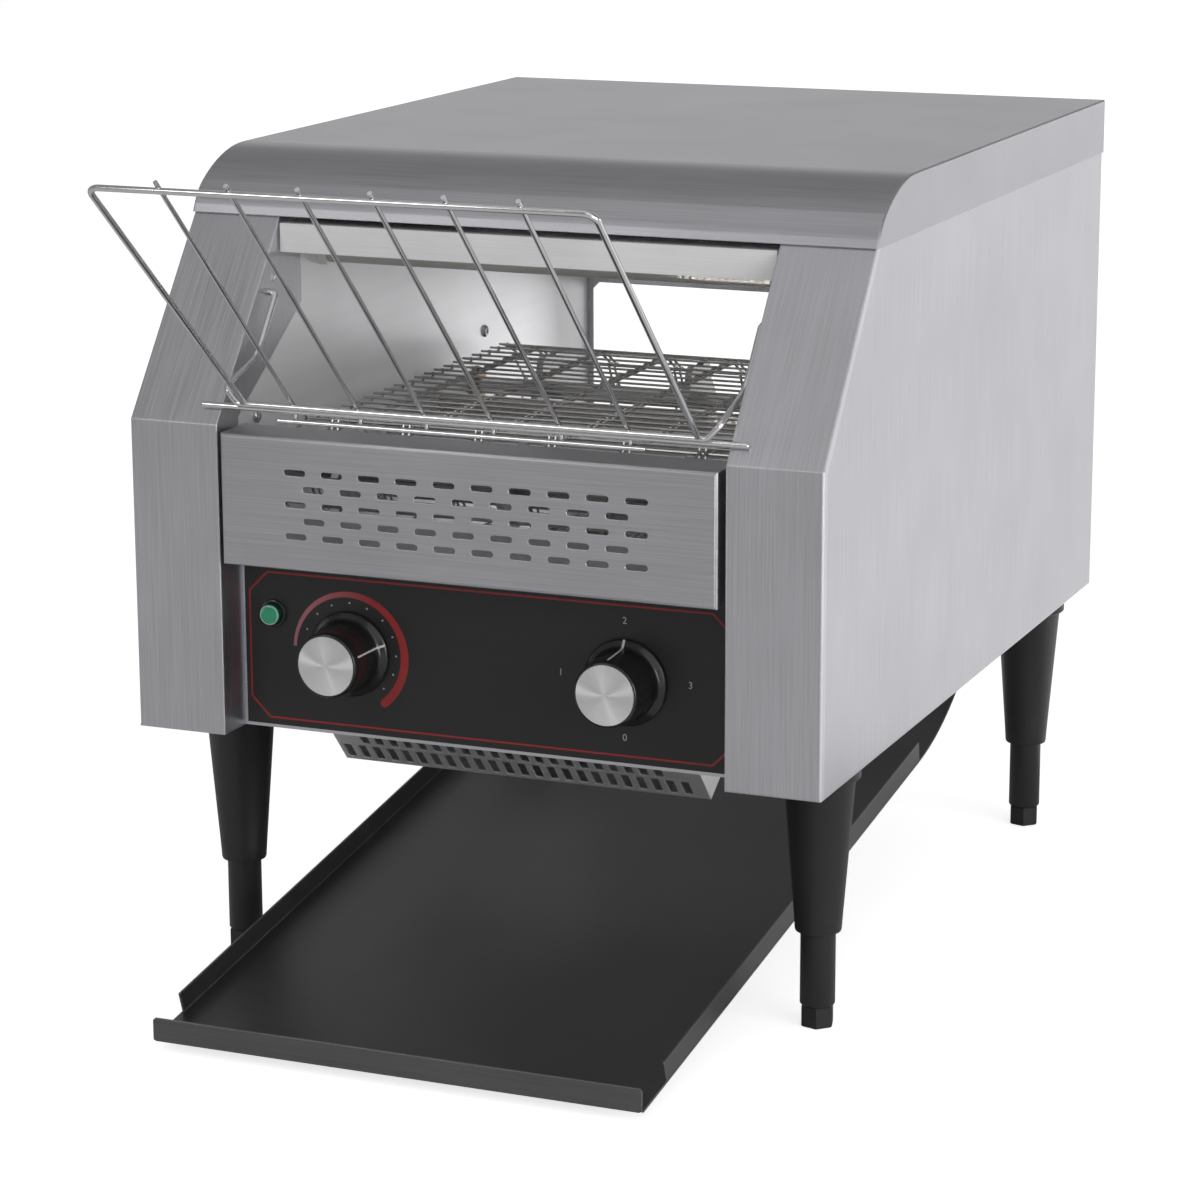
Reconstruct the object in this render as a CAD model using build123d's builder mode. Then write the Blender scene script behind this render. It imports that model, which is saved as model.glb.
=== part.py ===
from build123d import *
import os
from math import atan, atan2, cos, degrees, hypot, pi, radians, sin, tan

# Conveyor toaster: a folded sheet-metal body on four telescoping legs. Bread is laid on a wire
# link belt through the front mouth, travels back between quartz heaters, drops on to a curved
# ramp and slides forward on a tray. All sizes are in millimetres. X is to the right, Y to the
# back and Z up, with Z = 0 on the bench. "Depth" is measured backwards from the front face.

os.makedirs("parts", exist_ok=True)

# ---------------------------------------------------------------- driving sizes
# Body
body_width = 368.0
body_depth = 485.0
body_height = 285.0
leg_height = 137.0
face_height = 160.0
column_width = 48.8
column_lean = 37.7
panel_sheet = 1.2
thin_sheet = 1.0
seam = 0.1
contact_gap = 0.03
clearance = 0.3
bend_radius = 1.2
bottom_flange = 14.0
roof_flange = 10.0

# Cover
cover_overhang = 1.0
cover_setback = 72.3
nose_lip = 4.6
nose_lip_angle = 64.0
nose_mid_angle = 35.0
nose_small_radius = 30.0
nose_large_radius = 80.0
cover_corner = 0.8

# Column return flange, seen from the mouth of the chamber
return_depth = 22.7
return_wide_depth = 96.0
return_wide_rise = 48.0
pivot_depth = 59.5
pivot_rise = 58.1
spare_hole_depth = 64.4
spare_hole_rise = 65.2
spare_hole_radius = 2.4

# Front vent panel
vent_side_gap = 3.2
vent_proud = 3.0
vent_bottom_rise = 90.0
vent_height = 66.8
vent_slot_length = 11.7
vent_slot_height = 3.2
vent_slot_pitch = 20.2
vent_row_pitch = 8.05
vent_slot_margin = 28.0

# Control panel
overlay_thickness = 0.5
overlay_side_margin = 1.6
overlay_bottom_margin = 1.8
overlay_top_margin = 1.0
knob_inset = 60.2
knob_rise = 43.0
knob_skirt_radius = 22.0
knob_skirt_thickness = 3.0
knob_grip_base_radius = 17.6
knob_grip_top_radius = 16.4
knob_length = 27.0
knob_cap_radius = 15.3
knob_cap_thickness = 1.4
spindle_radius = 3.0
lamp_inset = 17.9
lamp_rise = 60.4
lamp_lens_radius = 4.9
lamp_ring_radius = 7.0
lamp_ring_height = 4.0
lamp_lens_height = 6.0

# Air guard under the control box
guard_inset = 33.5
guard_front_depth = 44.6
guard_tip_depth = 70.6
guard_tip_drop = 28.5
guard_back_depth = 116.0
guard_flange = 8.0
guard_slot_width = 4.7
guard_slot_length = 11.6
guard_slot_pitch = 8.15
guard_slot_margin = 2.0
guard_slot_shift = -3.0
guard_low_row = 8.4
guard_row_step = 14.0

# Belt, its shafts and the drive
belt_pitch = 12.7
belt_wire = 1.6
belt_teeth = 12
sprocket_teeth = 6
belt_spaces = 20
belt_side_gap = 13.2
belt_hook_inset = 4.0
belt_hook_gap = 0.4
belt_hook_reach = 2.08
idler_depth = 62.0
shaft_drop = 33.5
shaft_radius = 5.0
shaft_running = 0.05
sprocket_width = 4.0
sprocket_inset = 32.0
sprocket_tooth = 4.0
sprocket_tip_share = 0.2
bush_radius = 8.0
bush_flange_radius = 11.0
bush_flange = 2.0
chain_pitch = 6.35
chain_teeth = 16
chain_spaces = 12
chain_roller_radius = 1.6
chain_tooth = 2.4
chain_tip_share = 0.3
chain_width = 3.0
chain_offset = 9.0
motor_radius = 30.0
motor_length = 24.0

# Heaters
tube_radius = 5.0
holder_radius = 7.0
upper_heater_rise = 70.0
upper_heater_first = 122.0
upper_heater_pitch = 56.0
upper_heaters_count = 4
lower_heater_first = 120.0
lower_heater_pitch = 69.0
lower_heaters_count = 3
reflector_rise = 91.7
lintel_height = 14.7
reflector_back = 335.0

# Rear outlet
outlet_side_gap = 2.2
outlet_bottom_rise = 38.0
outlet_height = 124.0
outlet_corner = 4.0

# Toast tray
tray_side_gap = 5.2
tray_reach = 92.0
tray_clear = 5.6
tray_slope = 7.77
tray_wall = 11.0
tray_lip = 12.0
tray_wall_start = 30.0
ramp_start = 328.0
ramp_radius = 190.0
ramp_end_angle = 57.0
runner_start = 330.0
runner_end = 452.0
runner_rise = 22.0
runner_width = 4.4
tray_travel = 120.0

# Legs
leg_inset = 23.0
leg_front_depth = 65.5
leg_rear_depth = 436.6
sleeve_flange_radius = 20.4
sleeve_flange = 7.0
sleeve_top_radius = 18.0
sleeve_bottom_radius = 11.8
sleeve_bottom = 50.0
foot_radius = 8.9
foot_running = 0.06
hex_height = 11.0
foot_overlap = 42.0
stud_radius = 4.0

# Loading rack
rack_wire = 3.2
bar_wire = 2.4
rack_angle = 41.9
rack_length = 186.0
rack_side_gap = 10.2
rack_foot_gap = 14.7
rack_corner_cut = 2.5
stop_climb = 10.0
stop_overlap = 9.8
bar_count = 6
bar_head = 4.0
bar_foot = 7.4
bar_skew = 6.0
short_rod_overhang = 8.7
arm_side_gap = 4.2
arm_bend_depth = 37.7
arm_bend_rise = 30.1
arm_low_depth = 3.0
arm_low_rise = 18.5
hook_length = 9.0

# Cooling fan
fan_size = 60.0
fan_height = 25.0
fan_depth = 84.0
fan_hub_radius = 13.0
fan_blade_gap = 1.5
fan_blades = 5

# Cable gland at the back
gland_projection = 13.0
gland_radius = 9.0
gland_rise = 30.0

# Flats on round pieces
small_sides = 8
round_sides = 12
leg_sides = 14
knob_sides = 18
holder_sides = 6

# ---------------------------------------------------------------- values that follow
bottom = leg_height
crease = bottom + face_height
top = bottom + body_height
half_width = body_width / 2
column_inner = half_width - column_width
vent_width = 2 * (column_inner - vent_side_gap)
guard_width = 2 * (column_inner - guard_inset)
outlet_width = 2 * (column_inner - outlet_side_gap)
tray_width = 2 * (column_inner - tray_side_gap)
belt_half_width = column_inner - belt_side_gap
rack_half_width = column_inner - rack_side_gap
rack_foot_half_width = column_inner - rack_foot_gap
bar_spacing = 2 * rack_half_width / (bar_count + 1)
arm_offset = column_inner - arm_side_gap
roof = top - thin_sheet - clearance
lean_run = sin(radians(column_lean))
lean_climb = cos(radians(column_lean))
panel_depth = return_depth + seam
axis_height = crease - shaft_drop
belt_radius = belt_pitch / (2 * sin(radians(180 / belt_teeth)))
drive_depth = idler_depth + belt_spaces * belt_pitch
chain_radius = chain_pitch / (2 * sin(radians(180 / chain_teeth)))
motor_height = axis_height - chain_spaces * chain_pitch
liner_inner = column_inner + panel_sheet + seam
liner_outer = liner_inner + thin_sheet
base_floor = bottom + panel_sheet + seam
base_top = base_floor + panel_sheet
pivot_height = crease + pivot_rise

# The stop rod lies against the leaning faces of the columns, and the rack rises from it.
rack_run = cos(radians(rack_angle))
rack_rise = sin(radians(rack_angle))
stop_depth = stop_climb * lean_run - (rack_wire / 2 + clearance) * lean_climb
stop_height = crease + stop_climb * lean_climb + (rack_wire / 2 + clearance) * lean_run
cross_depth = stop_depth - (rack_wire + contact_gap) * rack_run
cross_height = stop_height + (rack_wire + contact_gap) * rack_rise
rack_top_depth = cross_depth - rack_length * rack_run
rack_top_height = cross_height + rack_length * rack_rise
bar_offset = (rack_wire + bar_wire) / 2 + contact_gap

# The row's origin is the middle of everything between the rack's top wire and the gland.
rack_reach = max(
    rack_wire / 2 - rack_top_depth,
    bar_head * rack_run - rack_top_depth - bar_offset * rack_rise + bar_wire / 2 * rack_rise,
)
rear_reach = body_depth + gland_projection
front = (rack_reach - rear_reach) / 2


def section(x):
    """Plane across the body at x, drawn in depth and height, facing right."""
    return Plane(origin=(x, front, 0), x_dir=(0, 1, 0), z_dir=(1, 0, 0))


def facing(depth):
    """Plane parallel to the front face, drawn in x and height, facing the front."""
    return Plane(origin=(0, front + depth, 0), x_dir=(1, 0, 0), z_dir=(0, -1, 0))


def plan(height):
    """Level plane drawn in x and depth, facing up."""
    return Plane(origin=(0, front, height))


def place(x, depth, height):
    """Point in space from x, depth and height."""
    return (x, front + depth, height)


def teeth_outline(count, root, tip, tip_share):
    """Corner points of a toothed wheel whose first tooth lies on its first axis."""
    step = 360 / count
    points = []
    for index in range(count):
        for share, radius in ((-tip_share, tip), (tip_share, tip), (1, root)):
            angle = radians((index + share / 2) * step)
            points.append((radius * cos(angle), radius * sin(angle)))
    return points


def cut_rectangle(width, height, cut):
    """Corner points of a rectangle whose corners are cut off."""
    x = width / 2
    y = height / 2
    right = [(x - cut, -y), (x, cut - y), (x, y - cut), (x - cut, y)]
    return right + [(-a, -b) for a, b in right]


def bent_wire(points, cuts):
    """Points along a wire whose corners are cut back by the distances in cuts."""
    path = [Vector(*points[0])]
    for before, corner, after, cut in zip(points, points[1:], points[2:], cuts):
        for towards in (before, after):
            along = Vector(*towards) - Vector(*corner)
            path.append(Vector(*corner) + along.normalized() * cut)
    return path + [Vector(*points[-1])]


# ---------------------------------------------------------------- top cover
cover_width = body_width + 2 * cover_overhang
cover_rear = body_depth + cover_overhang
skirt_height = (
    nose_lip * sin(radians(nose_lip_angle))
    + nose_small_radius * (cos(radians(nose_mid_angle)) - cos(radians(nose_lip_angle)))
    + nose_large_radius * (1 - cos(radians(nose_mid_angle)))
)
skirt = top - skirt_height
nose_depth = (
    cover_setback
    + nose_lip * cos(radians(nose_lip_angle))
    + nose_small_radius * (sin(radians(nose_lip_angle)) - sin(radians(nose_mid_angle)))
    + nose_large_radius * sin(radians(nose_mid_angle))
)

with BuildPart() as top_cover:
    with BuildSketch(section(-cover_width / 2)):
        with BuildLine():
            lip = PolarLine((cover_setback, skirt), nose_lip, nose_lip_angle)
            nose = JernArc(lip @ 1, lip % 1, nose_small_radius, nose_mid_angle - nose_lip_angle)
            brow = JernArc(nose @ 1, nose % 1, nose_large_radius, -nose_mid_angle)
            Polyline(brow @ 1, (cover_rear, top), (cover_rear, skirt), lip @ 0)
        make_face()
    extrude(amount=cover_width)
    chamfer(top_cover.faces().filter_by(Axis.X).edges().group_by(Axis.Z)[1:], cover_corner)
    offset(amount=-thin_sheet, openings=top_cover.faces().sort_by(Axis.Z)[0])
top_cover.part.label = "top_cover"
export_step(top_cover.part, "parts/top_cover.step")

# ---------------------------------------------------------------- side panels
# Each panel is one sheet: the side, the front column with its crease, and a return flange.
lean_top_height = skirt + skirt_height * 0.4
lean_top_depth = (lean_top_height - crease) * lean_run / lean_climb
crease_inner = crease - panel_sheet * tan(radians(column_lean / 2))
brow_radius = nose_large_radius - thin_sheet - clearance
brow_depth = nose_depth - brow_radius * sin(radians(nose_mid_angle / 2))
brow_height = top - nose_large_radius + brow_radius * cos(radians(nose_mid_angle / 2))

with BuildPart() as side_panel_right:
    with BuildSketch(section(half_width)):
        Polygon(
            (0, bottom),
            (body_depth, bottom),
            (body_depth, roof),
            (nose_depth, roof),
            (brow_depth, brow_height),
            (lean_top_depth, lean_top_height),
            (0, crease),
            align=None,
        )
    extrude(amount=-panel_sheet)
    with BuildSketch(section(column_inner)):
        Polygon(
            (0, bottom),
            (0, crease),
            (lean_top_depth, lean_top_height),
            (lean_top_depth + panel_sheet * lean_climb, lean_top_height - panel_sheet * lean_run),
            (panel_sheet, crease_inner),
            (panel_sheet, bottom),
            align=None,
        )
    extrude(amount=column_width)
    chamfer(side_panel_right.faces().sort_by(Axis.X)[-1].edges().sort_by(Axis.Y)[:2], bend_radius / 2)
    with BuildSketch(section(column_inner)):
        Polygon(
            (0, bottom),
            (return_depth, bottom),
            (return_depth, crease),
            (return_wide_depth, crease + return_wide_rise),
            (return_wide_depth, lean_top_height),
            (lean_top_depth, lean_top_height),
            (0, crease),
            align=None,
        )
        with Locations((pivot_depth, pivot_height)):
            Circle(rack_wire / 2 + shaft_running, mode=Mode.SUBTRACT)
        with Locations((spare_hole_depth, crease + spare_hole_rise)):
            RegularPolygon(spare_hole_radius, round_sides, mode=Mode.SUBTRACT)
    extrude(amount=panel_sheet)
    with BuildSketch(plan(bottom)):
        with Locations((half_width - bottom_flange / 2, body_depth / 2)):
            Rectangle(bottom_flange, body_depth)
    extrude(amount=panel_sheet)
    with BuildSketch(plan(roof)):
        with Locations((half_width - roof_flange / 2, (nose_depth + body_depth) / 2)):
            Rectangle(roof_flange, body_depth - nose_depth)
    extrude(amount=-panel_sheet)
side_panel_right.part.label = "side_panel_right"
export_step(side_panel_right.part, "parts/side_panel_right.step")

with BuildPart() as side_panel_left:
    add(side_panel_right.part)
    mirror(about=Plane.YZ, mode=Mode.REPLACE)
side_panel_left.part.label = "side_panel_left"
export_step(side_panel_left.part, "parts/side_panel_left.step")

# ---------------------------------------------------------------- base pan
base_width = body_width - 2 * panel_sheet - 2 * seam
base_front = panel_depth + panel_sheet + seam
base_back = body_depth - panel_sheet - 2 * seam
base_upstand = 20.0
chute_width = outlet_width
chute_front = 200.0
chute_margin = 15.0
chute_back = body_depth - chute_margin
air_opening_radius = fan_size / 2 - fan_blade_gap

with BuildPart() as base_pan:
    with BuildSketch(plan(base_floor)):
        with Locations((0, (base_front + base_back) / 2)):
            Rectangle(base_width, base_back - base_front)
        with Locations((0, (chute_front + chute_back) / 2)):
            Rectangle(chute_width, chute_back - chute_front, mode=Mode.SUBTRACT)
        with Locations((0, fan_depth)):
            RegularPolygon(air_opening_radius, 2 * round_sides, mode=Mode.SUBTRACT)
        for depth in (leg_front_depth, leg_rear_depth):
            with Locations((half_width - leg_inset, depth), (leg_inset - half_width, depth)):
                RegularPolygon(stud_radius + clearance, small_sides, mode=Mode.SUBTRACT)
    extrude(amount=panel_sheet)
    with BuildSketch(plan(base_floor)):
        with Locations((0, base_front + panel_sheet / 2)):
            Rectangle(2 * column_inner, panel_sheet)
    extrude(amount=base_upstand)
base_pan.part.label = "base_pan"
export_step(base_pan.part, "parts/base_pan.step")

# ---------------------------------------------------------------- front vent panel
vent_bottom = bottom + vent_bottom_rise
vent_back = panel_depth + panel_sheet
vent_slots_wide_row = int((vent_width - 2 * vent_slot_margin) / vent_slot_pitch)

with BuildPart() as front_vent_panel:
    with BuildSketch(plan(vent_bottom)):
        with Locations((0, (vent_back - vent_proud) / 2)):
            Rectangle(vent_width, vent_back + vent_proud)
    extrude(amount=vent_height)
    chamfer(front_vent_panel.faces().sort_by(Axis.Y)[0].edges(), bend_radius)
    offset(amount=-thin_sheet, openings=front_vent_panel.faces().sort_by(Axis.Y)[-1])
    with BuildSketch(facing(-vent_proud)):
        with Locations((0, vent_bottom + vent_height / 2 + thin_sheet)):
            with GridLocations(vent_slot_pitch, 2 * vent_row_pitch, vent_slots_wide_row, 3):
                Rectangle(vent_slot_length, vent_slot_height)
            with GridLocations(vent_slot_pitch, 2 * vent_row_pitch, vent_slots_wide_row - 1, 2):
                Rectangle(vent_slot_length, vent_slot_height)
    extrude(amount=-2 * thin_sheet, mode=Mode.SUBTRACT)
front_vent_panel.part.label = "front_vent_panel"
export_step(front_vent_panel.part, "parts/front_vent_panel.step")

# ---------------------------------------------------------------- control panel and its face
knob_height = bottom + knob_rise
lamp_height = bottom + lamp_rise
panel_half_width = column_inner + panel_sheet
knob_offset = column_inner - knob_inset
knob_places = [(-knob_offset, knob_height), (knob_offset, knob_height)]
lamp_place = (lamp_inset - column_inner, lamp_height)
spindle_hole = spindle_radius + thin_sheet
lamp_hole = lamp_lens_radius + clearance

with BuildPart() as control_panel:
    with BuildSketch(facing(panel_depth)):
        with Locations((0, (bottom + vent_bottom - seam) / 2)):
            Rectangle(2 * panel_half_width, vent_bottom - seam - bottom)
        with Locations(*knob_places):
            RegularPolygon(spindle_hole, round_sides, mode=Mode.SUBTRACT)
        with Locations(lamp_place):
            RegularPolygon(lamp_hole, round_sides, mode=Mode.SUBTRACT)
    extrude(amount=-panel_sheet)
control_panel.part.label = "control_panel"
export_step(control_panel.part, "parts/control_panel.step")

overlay_bottom = bottom + overlay_bottom_margin
overlay_top = vent_bottom - overlay_top_margin
with BuildPart() as control_face:
    with BuildSketch(facing(panel_depth)):
        with Locations((0, (overlay_bottom + overlay_top) / 2)):
            Rectangle(2 * (column_inner - overlay_side_margin), overlay_top - overlay_bottom)
        with Locations(*knob_places):
            RegularPolygon(spindle_hole, round_sides, mode=Mode.SUBTRACT)
        with Locations(lamp_place):
            RegularPolygon(lamp_hole, round_sides, mode=Mode.SUBTRACT)
    extrude(amount=overlay_thickness)
control_face.part.label = "control_face"
export_step(control_face.part, "parts/control_face.step")

# ---------------------------------------------------------------- knobs
face_depth = panel_depth - overlay_thickness
knob_back = face_depth - clearance
knob_narrowing = (knob_grip_base_radius - knob_grip_top_radius) * cos(pi / knob_sides)
knob_grip_length = knob_length - knob_skirt_thickness
names = ("colour", "mode")
for name, (knob_x, knob_z) in zip(names, knob_places):
    axis_place = Plane(origin=place(knob_x, knob_back, knob_z), x_dir=(1, 0, 0), z_dir=(0, -1, 0))
    with BuildPart() as knob:
        with BuildSketch(axis_place):
            RegularPolygon(knob_grip_base_radius, knob_sides)
        extrude(amount=knob_length)
        grip_end = knob.faces().sort_by(Axis.Y)[0]
        chamfer(grip_end.edges(), knob_narrowing, knob_grip_length, reference=grip_end)
        with BuildSketch(axis_place):
            RegularPolygon(knob_skirt_radius, knob_sides)
        extrude(amount=knob_skirt_thickness)
        with BuildSketch(axis_place.offset(knob_length)):
            RegularPolygon(knob_cap_radius, knob_sides)
        extrude(amount=-knob_cap_thickness, mode=Mode.SUBTRACT)
        with BuildSketch(axis_place):
            RegularPolygon(spindle_radius + shaft_running, round_sides, major_radius=False)
        extrude(amount=knob_length / 2, mode=Mode.SUBTRACT)
    knob.part.label = f"{name}_knob"
    export_step(knob.part, f"parts/{name}_knob.step")

    with BuildPart() as knob_cap:
        with BuildSketch(axis_place.offset(knob_length - knob_cap_thickness)):
            RegularPolygon(knob_cap_radius - seam, knob_sides)
        extrude(amount=knob_cap_thickness)
    knob_cap.part.label = f"{name}_knob_cap"
    export_step(knob_cap.part, f"parts/{name}_knob_cap.step")

    control_back = panel_depth + panel_sheet
    with BuildPart() as spindle:
        with BuildSketch(axis_place.offset(knob_length / 2 - seam)):
            Circle(spindle_radius)
        extrude(amount=-(knob_length / 2 + control_back - knob_back + clearance))
    spindle.part.label = f"{name}_spindle"
    export_step(spindle.part, f"parts/{name}_spindle.step")

# ---------------------------------------------------------------- speed control, switch and lamp
pot_radius = 12.0
pot_length = 14.0
switch_size = 28.0
switch_length = 32.0
with BuildPart() as speed_control:
    with BuildSketch(facing(control_back + seam)):
        with Locations(knob_places[0]):
            RegularPolygon(pot_radius, round_sides)
            RegularPolygon(spindle_radius + shaft_running, small_sides, False, mode=Mode.SUBTRACT)
    extrude(amount=-pot_length)
speed_control.part.label = "speed_control"
export_step(speed_control.part, "parts/speed_control.step")

with BuildPart() as rotary_switch:
    with BuildSketch(facing(control_back + seam)):
        with Locations(knob_places[1]):
            Rectangle(switch_size, switch_size)
            RegularPolygon(spindle_radius + shaft_running, small_sides, False, mode=Mode.SUBTRACT)
    extrude(amount=-switch_length)
    chamfer(rotary_switch.faces().sort_by(Axis.Y)[-1].outer_wire().edges(), bend_radius)
rotary_switch.part.label = "rotary_switch"
export_step(rotary_switch.part, "parts/rotary_switch.step")

lamp_chamfer = 1.0
with BuildPart() as lamp_body:
    with BuildSketch(facing(face_depth)):
        with Locations(lamp_place):
            RegularPolygon(lamp_ring_radius, round_sides)
            RegularPolygon(lamp_lens_radius + seam, round_sides, mode=Mode.SUBTRACT)
    extrude(amount=lamp_ring_height)
    chamfer(lamp_body.faces().sort_by(Axis.Y)[0].outer_wire().edges(), lamp_chamfer)
lamp_body.part.label = "lamp_ring"
export_step(lamp_body.part, "parts/lamp_ring.step")

lamp_length = 20.0
with BuildPart() as lamp_lens:
    with BuildSketch(facing(face_depth - lamp_lens_height)):
        with Locations(lamp_place):
            RegularPolygon(lamp_lens_radius, round_sides)
    extrude(amount=-(lamp_lens_height + lamp_length))
    chamfer(lamp_lens.faces().sort_by(Axis.Y)[0].edges(), lamp_chamfer)
lamp_lens.part.label = "lamp_lens"
export_step(lamp_lens.part, "parts/lamp_lens.step")

# ---------------------------------------------------------------- air guard
# A V of perforated sheet under the base pan, with closed ends and two screw flanges.
guard_top = base_floor - seam
guard_tip = guard_top - guard_tip_drop
guard_front_angle = atan2(guard_tip_drop, guard_tip_depth - guard_front_depth)
guard_back_angle = atan2(guard_tip_drop, guard_back_depth - guard_tip_depth)
front_skin = thin_sheet / sin(guard_front_angle)
back_skin = thin_sheet / sin(guard_back_angle)
tip_bisector = (radians(180) - guard_front_angle + guard_back_angle) / 2
tip_skin = thin_sheet / cos((guard_front_angle + guard_back_angle) / 2)
guard_slots = int((guard_width - 2 * guard_slot_margin) / guard_slot_pitch)
guard_rows = (guard_slots, guard_slots - 3)
inner_tip = (guard_tip_depth + tip_skin * cos(tip_bisector), guard_tip + tip_skin * sin(tip_bisector))

with BuildPart() as air_guard:
    with BuildSketch(section(-guard_width / 2)):
        Polygon(
            (guard_front_depth, guard_top),
            (guard_tip_depth, guard_tip),
            (guard_back_depth, guard_top),
            align=None,
        )
    extrude(amount=guard_width)
    with BuildSketch(section(-guard_width / 2 + thin_sheet)):
        Polygon(
            (guard_front_depth + front_skin, guard_top),
            inner_tip,
            (guard_back_depth - back_skin, guard_top),
            align=None,
        )
    extrude(amount=guard_width - 2 * thin_sheet, mode=Mode.SUBTRACT)
    with BuildSketch(plan(guard_top)):
        with Locations((0, guard_front_depth - guard_flange / 2 + front_skin)):
            Rectangle(guard_width, guard_flange)
        with Locations((0, guard_back_depth + guard_flange / 2 - back_skin)):
            Rectangle(guard_width, guard_flange)
    extrude(amount=-thin_sheet)
    front_plane = Plane(
        origin=place(guard_slot_shift, guard_tip_depth, guard_tip),
        x_dir=(1, 0, 0),
        z_dir=(0, -sin(guard_front_angle), -cos(guard_front_angle)),
    )
    with BuildSketch(front_plane):
        for row, count in enumerate(guard_rows):
            with Locations((0, guard_low_row + row * guard_row_step)):
                with GridLocations(guard_slot_pitch, 1, count, 1):
                    Rectangle(guard_slot_width, guard_slot_length)
    extrude(amount=-3 * thin_sheet, both=True, mode=Mode.SUBTRACT)
air_guard.part.label = "air_guard"
export_step(air_guard.part, "parts/air_guard.step")

# ---------------------------------------------------------------- inner walls
upper_heater_height = crease + upper_heater_rise
lower_heater_height = axis_height
upper_heater_depths = [upper_heater_first + i * upper_heater_pitch for i in range(upper_heaters_count)]
lower_heater_depths = [lower_heater_first + i * lower_heater_pitch for i in range(lower_heaters_count)]
heater_spots = [(depth, upper_heater_height) for depth in upper_heater_depths]
heater_spots += [(depth, lower_heater_height) for depth in lower_heater_depths]
liner_front = base_front + panel_sheet + seam
liner_back = body_depth - panel_sheet - 2 * seam
liner_bottom = base_top + seam
liner_top = roof - panel_sheet
liner_flange = 7.0
wall_gap = 3.0

with BuildPart() as inner_wall_right:
    with BuildSketch(section(liner_inner)):
        Polygon(
            (liner_front, liner_bottom),
            (liner_back, liner_bottom),
            (liner_back, liner_top),
            (nose_depth, liner_top),
            (return_wide_depth, lean_top_height),
            (lean_top_depth + wall_gap, lean_top_height - wall_gap),
            (liner_front, crease + (liner_front - 2 * wall_gap) * lean_climb / lean_run),
            align=None,
        )
        with Locations((idler_depth, axis_height), (drive_depth, axis_height)):
            RegularPolygon(bush_radius + shaft_running, small_sides, mode=Mode.SUBTRACT)
        with Locations(*heater_spots):
            RegularPolygon(holder_radius + shaft_running, holder_sides, mode=Mode.SUBTRACT)
        with Locations((pivot_depth, pivot_height)):
            RegularPolygon(rack_wire / 2 + shaft_running, small_sides, False, mode=Mode.SUBTRACT)
    extrude(amount=thin_sheet)
    with BuildSketch(plan(liner_bottom)):
        with Locations((liner_inner + liner_flange / 2, (liner_front + liner_back) / 2)):
            Rectangle(liner_flange, liner_back - liner_front)
    extrude(amount=thin_sheet)
inner_wall_right.part.label = "inner_wall_right"
export_step(inner_wall_right.part, "parts/inner_wall_right.step")

with BuildPart() as inner_wall_left:
    add(inner_wall_right.part)
    mirror(about=Plane.YZ, mode=Mode.REPLACE)
inner_wall_left.part.label = "inner_wall_left"
export_step(inner_wall_left.part, "parts/inner_wall_left.step")

# ---------------------------------------------------------------- rear panel
rear_face = body_depth - panel_sheet
rear_half_width = half_width - panel_sheet - seam
rear_top = roof - panel_sheet - seam
outlet_bottom = bottom + outlet_bottom_rise
rear_vent_count = 7
rear_vent_pitch = 9.0
rear_vent_length = 26.0
rear_vent_height = 4.0
rear_vent_x = (liner_outer + rear_half_width) / 2
rear_vent_rise = 156.75
rear_vent_z = bottom + rear_vent_rise
gland_x = -rear_vent_x
gland_z = bottom + gland_rise
gland_wall = 2.0

with BuildPart() as rear_panel:
    with BuildSketch(facing(rear_face)):
        with Locations((0, (base_floor + rear_top) / 2)):
            Rectangle(2 * rear_half_width, rear_top - base_floor)
        with Locations((0, outlet_bottom + outlet_height / 2)):
            Polygon(*cut_rectangle(outlet_width, outlet_height, outlet_corner), mode=Mode.SUBTRACT)
        with Locations((rear_vent_x, rear_vent_z), (-rear_vent_x, rear_vent_z)):
            with GridLocations(1, rear_vent_pitch, 1, rear_vent_count):
                Rectangle(rear_vent_length, rear_vent_height, mode=Mode.SUBTRACT)
        with Locations((gland_x, gland_z)):
            RegularPolygon(gland_radius - gland_wall, round_sides, mode=Mode.SUBTRACT)
    extrude(amount=-panel_sheet)
rear_panel.part.label = "rear_panel"
export_step(rear_panel.part, "parts/rear_panel.step")

gland_inner_length = 8.0
with BuildPart() as cable_gland:
    with BuildSketch(facing(body_depth + seam)):
        with Locations((gland_x, gland_z)):
            RegularPolygon(gland_radius, 6)
    extrude(amount=-(gland_projection - seam) / 2)
    with BuildSketch(facing(body_depth + seam)):
        with Locations((gland_x, gland_z)):
            RegularPolygon(gland_radius - gland_wall, round_sides)
    extrude(amount=-(gland_projection - seam))
    with BuildSketch(facing(body_depth + seam)):
        with Locations((gland_x, gland_z)):
            RegularPolygon(gland_radius - gland_wall - seam, round_sides)
    extrude(amount=panel_sheet + gland_inner_length)
    with BuildSketch(facing(body_depth + gland_projection)):
        with Locations((gland_x, gland_z)):
            RegularPolygon(gland_radius / 2, small_sides)
    extrude(amount=2 * gland_projection + gland_inner_length, mode=Mode.SUBTRACT)
cable_gland.part.label = "cable_gland"
export_step(cable_gland.part, "parts/cable_gland.step")

# ---------------------------------------------------------------- reflectors
reflector_top = crease + reflector_rise
lintel_depth = cover_setback - thin_sheet
lintel_half_width = column_inner - thin_sheet
reflector_half_width = liner_inner - seam
reflector_wings = return_wide_depth + 2 * thin_sheet

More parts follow.
